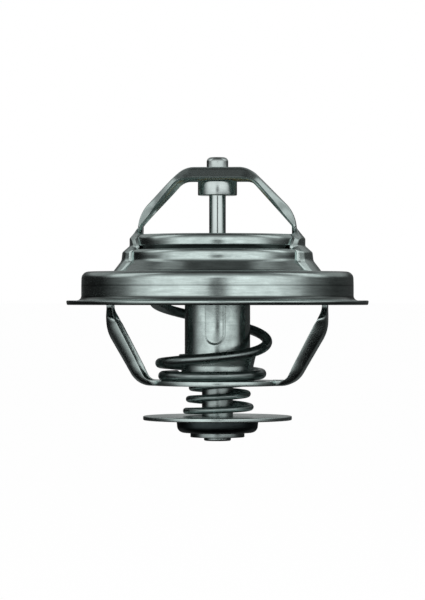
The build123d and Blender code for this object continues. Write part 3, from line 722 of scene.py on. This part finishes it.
def opposite(line, edge):
    """The point of an edge line that faces each point of a line, along the line's normal.

    With p a point, n its right normal, a the start of a piece of the edge and d the piece, the normal meets
    it at p + t*n, where t = (a - p) x d / (n x d) and the share along the piece is (a - p) x n / (n x d). The
    nearest meeting in front of p with a share from 0 to 1 is taken.
    """
    along = unit(np.gradient(line, axis=0))
    normal = np.stack((along[:, 1], -along[:, 0]), -1)[:, None]
    piece = np.diff(edge, axis=0)[None]
    away = edge[None, :-1] - line[:, None]
    bottom = normal[..., 0] * piece[..., 1] - normal[..., 1] * piece[..., 0]
    bottom = np.where(np.abs(bottom) < 1e-12, 1e-12, bottom)
    reach = (away[..., 0] * piece[..., 1] - away[..., 1] * piece[..., 0]) / bottom
    share = (away[..., 0] * normal[..., 1] - away[..., 1] * normal[..., 0]) / bottom
    meets = (share > -0.001) & (share < 1.001) & (reach > 0)
    nearest = np.where(meets, reach, np.inf).min(1)
    return line + normal[:, 0] * nearest[:, None]


def strap(outer, inner, width, slant, sheet, wrap):
    """Pressed channel of a bent strap, from its outer line and the line of its free edge.

    At each point the section runs across from -w to w, and its flanks lean by the slant s. It falls by
    drop*g(v), with v = (|y| - f)/(w - f) from the flat's edge f to the free edge, where g is v*v*c/(2*b) up to
    the knee b and c*(v - b/2) after it, with c = 1/(1 - b/2). The inside lies at the sheet's thickness t along
    the section's normal, so the drop is the depth less t*cos(s), and w - f is c*drop/tan(s), but at least a
    cut edge of 1.3 mm on a foot. A section point (y, q) goes to p + q*e and y, with e from the outer to the
    inner line. Where wrap is 1 the section is also bent round the axis, so that x becomes sqrt(x*x - y*y), and
    the inside lies at the full depth.
    """
    knee = 0.43
    rise = 1 / (1 - knee / 2)
    across = inner - outer
    depth = np.linalg.norm(across, axis=1)[:, None]
    across = across / depth
    w, t, wrap = width[:, None], sheet[:, None], wrap[:, None]
    drop = depth - t * np.cos(slant)[:, None]
    flank = np.maximum(rise * drop / np.tan(slant)[:, None], wrap * 1.3 * MM)
    f = np.maximum(w - flank, w * 0.25)
    v = np.concatenate((np.zeros(4), np.linspace(0, 1, 17)))[None]
    middle = np.concatenate((np.linspace(0, 1, 4, endpoint=False), np.ones(17)))[None]
    y = middle * f + v * (w - f)
    q = drop * np.where(v < knee, v * v * rise / (2 * knee), rise * (v - knee / 2))
    lean = drop * np.where(v < knee, v * rise / knee, rise) / (w - f)
    inner_y = np.maximum(y - (1 - wrap) * t * lean / np.hypot(1, lean), 0)
    inner_q = q + t / np.hypot(1, lean)
    inner_q = inner_q + wrap * (depth - inner_q)
    y, q = closed_section(y, q, inner_y, inner_q)
    x = outer[:, :1] + across[:, :1] * q
    z = outer[:, 1:] + across[:, 1:] * q
    bent = np.sqrt(np.maximum(x * x - y * y, 0))
    return np.stack((x + wrap * (bent - x), y, z), -1)


class MakeBushAndPin(bpy.types.Operator):
    """Make the riveted bush and the piston pin"""

    bl_idname = "thermostat.make_bush_and_pin"
    bl_label = "Bush and pin"

    def execute(self, context):
        s = sizes("element")
        low, high = heights("pin_bush")
        crown = sizes("bridge").height - sizes("bridge").sheet
        collar_top, bore, chamfer = crown - 2.0 * MM, low + 5.6 * MM, 0.15 * MM
        head = rounded([(s.head_radius, crown), (s.head_radius, high), (0, high)], [1.0 * MM])[1:-1]
        section = [
            (s.pin_radius, low), (s.collar_radius - chamfer, low), (s.collar_radius, low + chamfer),
            (s.collar_radius, collar_top - chamfer), (s.collar_radius - chamfer, collar_top),
            (s.shoulder_radius, collar_top), (s.shoulder_radius, crown), (s.head_radius, crown), *head,
            (0, high), (0, bore), (s.pin_radius, bore),
        ]
        turned_piece(
            "pin_bush_turned", section, "frame", "pin_bush", "turned_steel", "turned_bar_steel", edge=0.08 * MM
        )
        low, high = heights("piston_pin")
        tip, taper = 0.9 * MM, 2.0 * MM
        section = [(0, low), (tip, low), (s.pin_radius, low + taper), (s.pin_radius, high), (0, high)]
        turned_piece("piston_pin_ground", section, "frame", "piston_pin", "ground_steel", "ground_hardened_steel")
        return {"FINISHED"}


class MakeElement(bpy.types.Operator):
    """Make the element's cup with its pressed field, and the guide and ring above it"""

    bl_idname = "thermostat.make_element"
    bl_label = "Wax element"

    def execute(self, context):
        s = sizes("element")
        rim_low, seat = s.cup_top - s.rim_height, s.cup_top - s.rim_lip
        outer = rounded(
            [(0, s.cup_bottom), (s.radius, s.cup_bottom), (s.radius, rim_low), (s.rim_radius, rim_low),
             (s.rim_radius, s.cup_top), (s.rim_mouth, s.cup_top)],
            np.array([1.0, 0.3, 0.5, 0.5]) * MM,
        )
        wall = (np.abs(outer[:, 0] - s.radius) < 1e-7).nonzero()[0]
        rows = dense(outer[wall[0] : wall[-1] + 1], 0.2 * MM)
        hollow, floor = s.radius - s.cup_wall, s.cup_bottom + s.cup_floor
        inner = [(s.rim_mouth, seat), (hollow, rim_low), (hollow, floor), (0, floor)]
        grid = revolve(np.concatenate((outer[: wall[0]], rows, outer[wall[-1] + 1 :], inner)), 360)
        add_piece(
            "element_cup_drawn", [(press_field(grid, s), True, True)], "element", "element_cup", "element_shell",
            "satin_drawn_cup"
        )
        low, high = heights("element_guide")
        ring_low = heights("scraper_ring")[0]
        ring_radius, guide_foot = box_size("scraper_ring", 0) / 2, box_size("element_guide", 0) / 2
        bore = s.pin_radius + s.pin_gap
        section = [
            (bore, low), (guide_foot, low), (guide_foot, seat), (s.rim_mouth, seat), (s.rim_mouth, s.cup_top),
            (s.guide_radius, s.cup_top), (s.guide_radius, high - 0.4 * MM), (s.guide_radius - 0.4 * MM, high),
            (ring_radius, high), (ring_radius, ring_low), (bore, ring_low),
        ]
        turned_piece(
            "element_guide_turned", section, "element", "element_guide", "turned_brass", "turned_brass", edge=0.06 * MM
        )
        section = [
            (bore, ring_low), (ring_radius, ring_low), (ring_radius, high), (ring_radius - 0.6 * MM, high),
            (bore + 0.35 * MM, high - 0.35 * MM), (bore, high - 0.1 * MM),
        ]
        turned_piece(
            "scraper_ring_moulded", section, "element", "scraper_ring", "seal_rubber", "moulded_rubber", edge=0.05 * MM
        )
        return {"FINISHED"}


def press_field(grid, s):
    """Presses the flat-ended field into the front of the cup.

    With across the arc length from the front line and up the height above the field's middle, the distance
    from the field's edge is hypot(across, max(|up| - reach, 0)) - width/2. The radius falls by the field's
    depth where it is below 0, over an edge 0.8 mm wide.
    """
    radius = np.hypot(grid[..., 0], grid[..., 1])
    across = np.arctan2(grid[..., 0], -grid[..., 1]) * s.radius
    up = grid[..., 2] - (s.field_top + s.field_bottom) / 2
    reach = (s.field_top - s.field_bottom - s.field_width) / 2
    edge = np.hypot(across, np.maximum(np.abs(up) - reach, 0)) - s.field_width / 2
    outside = (radius > s.radius - 0.01 * MM) & (radius < s.radius + 0.01 * MM)
    fall = np.where(outside, s.field_depth * smooth(edge, 0.2 * MM, -0.6 * MM), 0)
    scale = np.where(radius > 0, (radius - fall) / np.maximum(radius, 1e-9), 1)
    return grid * np.stack((scale, scale, np.ones_like(scale)), -1)


class MakeValvePlate(bpy.types.Operator):
    """Make the valve plate, its rubber ring and the ring that locks it"""

    bl_idname = "thermostat.make_valve_plate"
    bl_label = "Valve plate"

    def execute(self, context):
        guide, seal = sizes("element").guide_radius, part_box("valve_seal")[1].x - 2.2 * MM
        pieces = (
            ("valve_plate_pressed", guide, 0.25, "valve_plate", "drawn_steel", "drawn_stainless_sheet"),
            ("valve_seal_moulded", seal, 0.3, "valve_seal", "seal_rubber", "moulded_rubber"),
            ("plate_ring_turned", guide, 0.3, "plate_ring", "turned_steel", "turned_bar_steel"),
        )
        for name, inner, bend, packed, slot, look in pieces:
            flat_ring(name, inner, bend * MM, "element", packed, slot, look)
        return {"FINISHED"}


class MakeBracket(bpy.types.Operator):
    """Make the lower bracket: base, drawn neck, channel legs and tongues"""

    bl_idname = "thermostat.make_bracket"
    bl_label = "Lower bracket"

    def execute(self, context):
        s, h = sizes("bracket"), sizes("housing")
        top = s.base_bottom + s.sheet
        throat = sizes("element").radius + s.neck_gap
        neck_top = s.base_bottom + s.neck_length
        flare = neck_top - 2.6 * MM
        section = rounded(
            [(s.base_radius, s.base_bottom), (throat, s.base_bottom), (throat, flare),
             (throat + s.neck_flare, neck_top), (throat + s.neck_flare + s.neck_wall, neck_top),
             (throat + s.neck_wall, flare), (throat + s.neck_wall, top), (s.base_radius, top)],
            np.array([1.1, 2.0, 0.25, 0.25, 2.0, 0.5]) * MM,
        )
        base = revolve(dense(section, 1.2 * MM))
        # The legs stand proud of the base's faces, so that the two surfaces never share a plane
        under, side = s.base_bottom - SKIN, s.leg_radius + SKIN
        tongue_height = h.drum_height - h.sheet - s.sheet - SKIN
        points = [
            (12.0 * MM, under),
            (s.leg_radius - (s.leg_corner - s.base_bottom) * math.tan(s.slant), under),
            (side, s.leg_corner),
            (side, tongue_height),
            (s.leg_radius + s.tongue_reach, tongue_height),
        ]
        fine, step = 16, 0.35 * MM
        path = dense(rounded(points, np.array([5.2, 8.0, 0.5]) * MM, fine), step)
        x, z = path[:, 0], path[:, 1]
        along = unit(np.gradient(path, axis=0))
        lean = math.tan(s.chord_slant)
        room = x - s.chord_radius - (z - s.chord_height) * lean
        sheet = s.sheet + 2 * SKIN
        least, flank_growth = sheet + 0.1 * MM, 1.6
        depth = np.maximum(room / np.maximum(along[:, 1] + along[:, 0] * lean, 0.2), least)
        depth = np.where(z < top, np.minimum(depth, least + np.maximum(x - s.flat_reach, 0) * flank_growth), depth)
        tongue = smooth(z, s.tongue_end - 2.6 * MM, s.tongue_end)
        depth = eased(depth + (least - depth) * tongue, 9)
        width = s.half_width + (s.tongue_half - s.half_width) * tongue
        up_leg = smooth(z, s.base_bottom + 3 * MM, s.base_bottom + 7 * MM)
        shoulder = np.minimum(s.shoulder + s.shoulder_growth * up_leg, depth * 0.94)
        plain = np.maximum(tongue, smooth(x, s.flat_reach, s.flat_reach - 1.5 * MM))
        shoulder = shoulder + (0.1 * MM - shoulder) * plain
        leg = channel(path, along, width, shoulder, depth, sheet, s.splay)
        grids = [(base, True, True), (leg, False, True), (leg * (-1, 1, 1), False, True)]
        add_piece(
            "bracket_pressed", grids, "frame", "lower_bracket", "pressed_steel", "pressed_stainless_strap",
            sharp=50, edge=0.10 * MM
        )
        return {"FINISHED"}


def channel(path, along, width, shoulder, depth, sheet, splay):
    """Pressed channel along a path in the upright plane of the legs.

    The path's points are (x, z) and along is its direction, with the channel open to its left. At each point
    the section has a half width w, rolled shoulders of radius r, flanks that end at depth d and the sheet t. Its
    sides are narrower by splay*(d - q) at depth q. A section point (y, q), with y across, goes to
    (x + nx*q, y, z + nz*q), where n is the path's left normal.
    """
    w, r, d = width[:, None], shoulder[:, None], depth[:, None]
    quarter = np.linspace(0, math.pi / 2, 9)
    flat = np.linspace(0, 1, 7)[None, :-1]
    bend = np.maximum(r - sheet, SKIN)
    floor = np.minimum(sheet, d - bend - 0.005 * MM)
    outer_y = np.concatenate((flat * (w - r), w - r + r * np.sin(quarter), w), 1)
    outer_q = np.concatenate((flat * 0 * d, r * (1 - np.cos(quarter)), d), 1)
    room = w - sheet
    inner_y = np.concatenate((flat * (room - bend), room - bend + bend * np.sin(quarter), room), 1)
    inner_q = np.concatenate((floor + flat * 0, floor + bend * (1 - np.cos(quarter)), d), 1)
    outer_y = outer_y * (1 - splay * (d - outer_q) / w)
    inner_y = inner_y * (1 - splay * (d - inner_q) / w)
    y, q = closed_section(outer_y, outer_q, inner_y, inner_q)
    x = path[:, :1] - along[:, 1:] * q
    z = path[:, 1:] + along[:, :1] * q
    return capped(np.stack((x, y, z), -1))


def coil(lifts, points, start, radius, growth, grows, offset, wire, low, high):
    """Wire of a coil spring as a tube.

    The centre line at turn s is (R*cos a + o*cos b, R*sin a + o*sin b, z), with a the start angle plus
    2*pi*s, R the radius plus its growth in each turn between the two turns in grows, o the offset along the
    direction b, and z the lower seat plus half the wire plus the share of the lift. The tube's ring at angle c
    is the centre + wire/2*(n*cos c + m*sin c), where n points away from the coil's middle, m is the tangent
    crossed with n, and both are square to the line.
    """
    turns = np.linspace(0, (len(lifts) - 1) / 4, points)
    radius = radius + growth * np.clip(turns - grows[0], 0, grows[1] - grows[0])
    lean = math.radians(5.0)
    a = math.radians(start) + 2 * math.pi * turns
    z = low + wire / 2 + lift_curve(lifts, turns) * (high - low - wire)
    line = np.stack((radius * np.cos(a) + offset * math.cos(lean), radius * np.sin(a) + offset * math.sin(lean), z), -1)
    tangent = unit(np.gradient(line, axis=0))
    out = np.stack((np.cos(a), np.sin(a), np.zeros_like(a)), -1)
    out = unit(out - tangent * (out * tangent).sum(1)[:, None])
    ends = ((2, 2), (0, 0))
    line, out, side = (np.pad(rows, ends, mode="edge") for rows in (line, out, np.cross(tangent, out)))
    blunt = wire / 2 * 0.92
    size = np.concatenate(([0, blunt], np.full(points, wire / 2), [blunt, 0]))
    c = np.linspace(0, 2 * math.pi, 36, endpoint=False)[None, :, None]
    return line[:, None] + size[:, None, None] * (out[:, None] * np.cos(c) + side[:, None] * np.sin(c))


def lift_curve(shares, turns):
    """The share of the lift at each turn: cubic steps between the quarter turns, never falling.

    A quarter with shares p and q and slopes g and h has
    p*(1 + 2t)*(1 - t)^2 + g*t*(1 - t)^2 + q*t^2*(3 - 2t) + h*t^2*(t - 1).
    """
    shares = np.asarray(shares)
    steps = np.diff(shares)
    slopes = np.zeros_like(shares)
    slopes[1:-1] = np.minimum((steps[:-1] + steps[1:]) / 2, 3 * np.minimum(steps[:-1], steps[1:]))
    quarter = np.minimum((turns * 4).astype(int), len(steps) - 1)
    t = turns * 4 - quarter
    p, q, g, h = shares[quarter], shares[quarter + 1], slopes[quarter], slopes[quarter + 1]
    return p * (1 + 2 * t) * (1 - t) ** 2 + g * t * (1 - t) ** 2 + q * t * t * (3 - 2 * t) + h * t * t * (t - 1)


# Share of a spring's height that its wire has reached at each quarter turn, from its lower end
MAIN_LIFTS = (0.0, 0.001, 0.008, 0.035, 0.088, 0.134, 0.21, 0.398, 0.565, 0.717, 0.846, 0.936, 0.982, 1.0, 1.0)
BYPASS_LIFTS = (0.0, 0.06, 0.12, 0.192, 0.32, 0.452, 0.54, 0.628, 0.725, 0.83, 0.93, 0.99, 1.0)
GROWING = (0.62, 2.72)  # turns between which the main spring's coils grow
ALWAYS = (0, 3)


class MakeSprings(bpy.types.Operator):
    """Make the main spring and the bypass spring"""

    bl_idname = "thermostat.make_springs"
    bl_label = "Springs"

    def execute(self, context):
        s = sizes("springs")
        base_top = sizes("bracket").base_bottom + sizes("bracket").sheet
        plate = heights("valve_plate")[0] - 0.01 * MM
        tube = coil(
            MAIN_LIFTS, 420, 142.0, s.main_radius, s.main_growth, GROWING, s.main_offset, s.main_wire, base_top, plate
        )
        look = "spring_steel", "drawn_spring_wire"
        spring = add_piece("main_spring_coiled", [(tube, False, True)], "frame", "main_spring", *look)
        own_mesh(spring)
        disc_top, cup = heights("bypass_disc")[1], sizes("element").cup_bottom
        tube = coil(
            BYPASS_LIFTS, 360, 95.0, s.bypass_radius, s.bypass_growth, ALWAYS, s.bypass_offset, s.bypass_wire,
            disc_top, cup
        )
        spring = add_piece("bypass_spring_coiled", [(tube, False, True)], "element", "bypass_spring", *look)
        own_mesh(spring)
        return {"FINISHED"}


class MakeBypassValve(bpy.types.Operator):
    """Make the bypass stem, disc, cup and washer"""

    bl_idname = "thermostat.make_bypass_valve"
    bl_label = "Bypass valve"

    def execute(self, context):
        stem = box_size("bypass_stem", 0) / 2
        bore = stem + 0.06 * MM
        flat_ring(
            "bypass_disc_pressed", bore, 0.22 * MM, "bypass", "bypass_disc", "pressed_steel", "pressed_stainless_strap"
        )
        low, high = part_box("disc_cup")
        loop = sheet_loop([(high.x, high.z), (8.85 * MM, low.z), (bore, low.z)], [1.5 * MM], -0.9 * MM)
        turned_piece("disc_cup_pressed", loop, "bypass", "disc_cup", "black_steel", "phosphated_steel", edge=0.05 * MM)
        neck, head, chamfer = 2.4 * MM, 3.0 * MM, 0.2 * MM
        flat_ring("washer_pressed", neck, 0.12 * MM, "element", "retaining_washer", "black_steel", "oiled_bar_steel")
        under, over = heights("retaining_washer")
        low, high = heights("bypass_stem")
        section = [
            (0, low), (head - chamfer, low), (head, low + chamfer), (head, under), (neck, under), (neck, over),
            (stem, over), (stem, high), (0, high),
        ]
        # Painted shade: the stem's darker steel stands for its shade under the disc and the base
        turned_piece(
            "bypass_stem_turned", section, "element", "bypass_stem", "turned_steel", "oiled_bar_steel", edge=0.06 * MM
        )
        return {"FINISHED"}


class DressInnerPieces(bpy.types.Operator):
    """Give the packed pieces that are kept as they are their finishes"""

    bl_idname = "thermostat.dress_inner_pieces"
    bl_label = "Inner pieces"

    def execute(self, context):
        looks = {
            "backup_ring": "machined_white_plastic",
            "rubber_sleeve": "moulded_rubber",
            "wax_charge": "pressed_copper_wax",
        }
        for name, look in looks.items():
            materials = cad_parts[name].data.materials
            materials.clear()
            materials.append(material_of(look))
        return {"FINISHED"}


# Studio


class MakeStudio(bpy.types.Operator):
    """Make the camera, the white room, the floor, the lamps and the tent"""

    bl_idname = "thermostat.make_studio"
    bl_label = "Studio"

    def execute(self, context):
        s = sizes("studio")
        scene = context.scene
        scene.view_settings.view_transform = "Standard"
        camera = bpy.data.cameras.new("camera")
        camera.sensor_width = 36.0
        camera.lens = camera.sensor_width * s.distance / s.view_height
        camera.clip_start, camera.clip_end = 0.05, 200.0
        eye = placed("camera", camera)
        across = np.array([math.cos(s.camera_turn), math.sin(s.camera_turn)])
        back = np.array([math.sin(s.camera_turn), -math.cos(s.camera_turn)])
        eye.location = (*(across * s.aim_right + back * s.distance), s.aim_up)
        eye.rotation_euler = (math.pi / 2, 0, s.camera_turn)
        scene.camera = eye
        make_room(scene, s)
        make_tent(s)
        make_lamps()
        return {"FINISHED"}


def make_room(scene, s):
    """A white room: pale grey light on the part, pure white where it is seen or mirrored, and a white floor."""
    world = bpy.data.worlds.new("room")
    world.use_nodes = True
    tree = world.node_tree
    tree.nodes.clear()
    path = node(tree, "LightPath").outputs
    seen = path["Is Camera Ray"]
    for ray in ("Is Glossy Ray", "Is Transmission Ray"):
        seen = node(tree, "Math", {"operation": "MAXIMUM"}, i0=seen, i1=path[ray]).outputs[0]
    level = node(tree, "MapRange", Value=seen, To_Min=0.75, To_Max=1.0).outputs[0]
    light = node(tree, "Background", Color=(1, 1, 1, 1), Strength=level)
    node(tree, "OutputWorld", Surface=light.outputs[0])
    scene.world = world
    # The camera sees the floor as white, less a little that the part's shadow needs
    white_share = 0.97
    material, tree = new_material("white_floor")
    path = node(tree, "LightPath").outputs["Is Camera Ray"]
    share = node(tree, "Math", {"operation": "MULTIPLY"}, i0=path, i1=white_share).outputs[0]
    paper = node(tree, "BsdfDiffuse", Color=(0.86, 0.86, 0.86, 1)).outputs[0]
    white = node(tree, "Emission", Color=(1, 1, 1, 1), Strength=1.0).outputs[0]
    mixed = node(tree, "MixShader", i0=share, i1=paper, i2=white).outputs[0]
    node(tree, "OutputMaterial", Surface=mixed)
    reach = np.linspace(-90, 90, 9)
    x, y = np.meshgrid(reach, reach, indexing="ij")
    floor = stage_surface("floor", np.stack((x, y, np.full_like(x, s.floor_height)), -1), material)
    floor.visible_glossy = False


def stage_surface(name, grid, material):
    """A surface that belongs to the studio and not to the part."""
    mesh = bpy.data.meshes.new(name)
    mesh.from_pydata(grid.reshape(-1, 3).tolist(), [], grid_faces(*grid.shape[:2], False, False).tolist())
    mesh.materials.append(material)
    piece = placed(name, mesh)
    return piece


# Tones of the tent's cloth in display levels: (height angle, tone) in front of the part, (angle round the axis,
# tone), (height angle, tone) behind the part, and soft patches of (angle round, height angle, half sizes, tone)
FRONT = np.array(
    [(-90, 10), (-40, 15), (-30, 25), (-20, 115), (-10, 225), (0, 240), (8, 250), (20, 225), (36, 170), (55, 120),
     (77, 95), (90, 70)]
)
AROUND = np.array(
    [(-180, 150), (-168, 75), (-150, 30), (-120, 20), (-104, 22), (-88, 60), (-70, 165), (-54, 210), (-20, 222),
     (0, 215), (20, 218), (52, 212), (68, 172), (84, 76), (100, 40), (120, 44), (140, 50), (158, 50), (168, 75),
     (180, 150)]
)
BACK = np.array(
    [(-90, 30), (-40, 85), (-20, 90), (-9, 0), (9, 0), (20, 150), (38, 150), (55, 100), (70, 95), (85, 0)]
)
PATCHES = (
    (0, 1, 8, 7, 35),
    (-94, 40, 22, 32, 240),
    (94, 40, 22, 32, 240),
    (128, 24, 22, 14, 150),
    (48, -19, 40, 12, 18),
)


def make_tent(s):
    """A round tent that only metal shows: pale cloth in front, and darker cloth behind, above and below.

    FRONT gives the tone by the height angle in front of the part, AROUND gives it by the angle round the axis
    at the part's height, counted from the camera, and the tone is FRONT*AROUND/pale tone. Behind the part,
    where the angle round is over about 110 degrees, it is at least BACK's tone for the height angle. PATCHES
    are soft cloths hung in the tent, whose tone mixes in by exp(-(a*a + b*b)**2), where a and b are the
    distances from their middle over the half sizes.
    """
    around, up = np.linspace(-180, 180, 241), np.linspace(-90, 90, 121)
    a, e = np.meshgrid(np.radians(around), np.radians(up), indexing="ij")
    turn, rise = np.degrees(a), np.degrees(e)
    tone = np.interp(rise, *FRONT.T) * np.interp(turn, *AROUND.T) / s.pale_tone
    tone = np.maximum(tone, np.interp(rise, *BACK.T) * smooth(np.abs(turn), 98, 130))
    for middle, height, half_turn, half_rise, level in PATCHES:
        off = (turn - middle + 180) % 360 - 180
        share = np.exp(-(((off / half_turn) ** 2 + ((rise - height) / half_rise) ** 2) ** 2))
        tone = tone + (level - tone) * share
    light = light_of(np.clip(tone, 0, 255))
    turned = a - math.pi / 2 + s.camera_turn
    flat = s.tent_radius * np.cos(e)
    grid = np.stack((flat * np.cos(turned), flat * np.sin(turned), s.tent_radius * np.sin(e)), -1)
    material, tree = new_material("tent_cloth")
    cloth = node(tree, "Attribute", {"attribute_name": "cloth"}).outputs["Color"]
    glow = node(tree, "Emission", Color=cloth, Strength=1.0).outputs[0]
    node(tree, "OutputMaterial", Surface=glow)
    tent = stage_surface("tent", grid, material)
    layer = tent.data.color_attributes.new("cloth", "FLOAT_COLOR", "POINT")
    layer.data.foreach_set("color", np.stack((light, light, light, np.ones_like(light)), -1).ravel())
    for ray in ("camera", "diffuse", "transmission", "shadow"):
        setattr(tent, "visible_" + ray, False)


def make_lamps():
    """Two soft lamps in front and one above. They light what isn't metal, and aren't mirrored."""
    places = (
        ("lamp_left", -0.6, -0.6, 0.5, 2.2),
        ("lamp_right", 0.6, -0.6, 0.5, 2.2),
        ("lamp_top", 0.0, 0.0, 0.9, 2.0),
    )
    for name, x, y, z, power in places:
        lamp = bpy.data.lights.new(name, "AREA")
        lamp.size = 0.5
        lamp.energy = power
        holder = placed(name, lamp)
        holder.location = (x, y, z)
        holder.rotation_euler = (math.atan2(math.hypot(x, y), z), 0, math.atan2(y, x) + math.pi / 2)
        holder.visible_glossy = False


class ThermostatPanel(bpy.types.Panel):
    """Buttons and sizes of the engine thermostat"""

    bl_idname = "VIEW3D_PT_thermostat"
    bl_label = "Engine Thermostat"
    bl_space_type = "VIEW_3D"
    bl_region_type = "UI"
    bl_category = "Thermostat"

    def draw(self, context):
        for operator in OPERATORS:
            self.layout.operator(operator.bl_idname)
        for name, group in SIZES.items():
            box = self.layout.box()
            box.label(text=group.__doc__)
            for field in group.__annotations__:
                box.prop(sizes(name), field)


OPERATORS = (
    MakeStudio,
    MakeHousing,
    MakeBridge,
    MakeBushAndPin,
    MakeElement,
    MakeValvePlate,
    MakeBracket,
    MakeSprings,
    MakeBypassValve,
    DressInnerPieces,
)
CLASSES = (*SIZES.values(), *OPERATORS, ThermostatPanel)


def register():
    """Registers the groups, operators and panel, and hangs the groups on the scene."""
    for made in CLASSES:
        bpy.utils.register_class(made)
    for name, group in SIZES.items():
        setattr(bpy.types.Scene, "thermostat_" + name, bpy.props.PointerProperty(type=group))


def unregister():
    """Takes back what register added."""
    for name in SIZES:
        delattr(bpy.types.Scene, "thermostat_" + name)
    for made in reversed(CLASSES):
        bpy.utils.unregister_class(made)


def main():
    """Registers the classes and builds everything in order."""
    register()
    for operator in OPERATORS:
        group, action = operator.bl_idname.split(".")
        getattr(getattr(bpy.ops, group), action)()


if __name__ == "__main__":
    main()
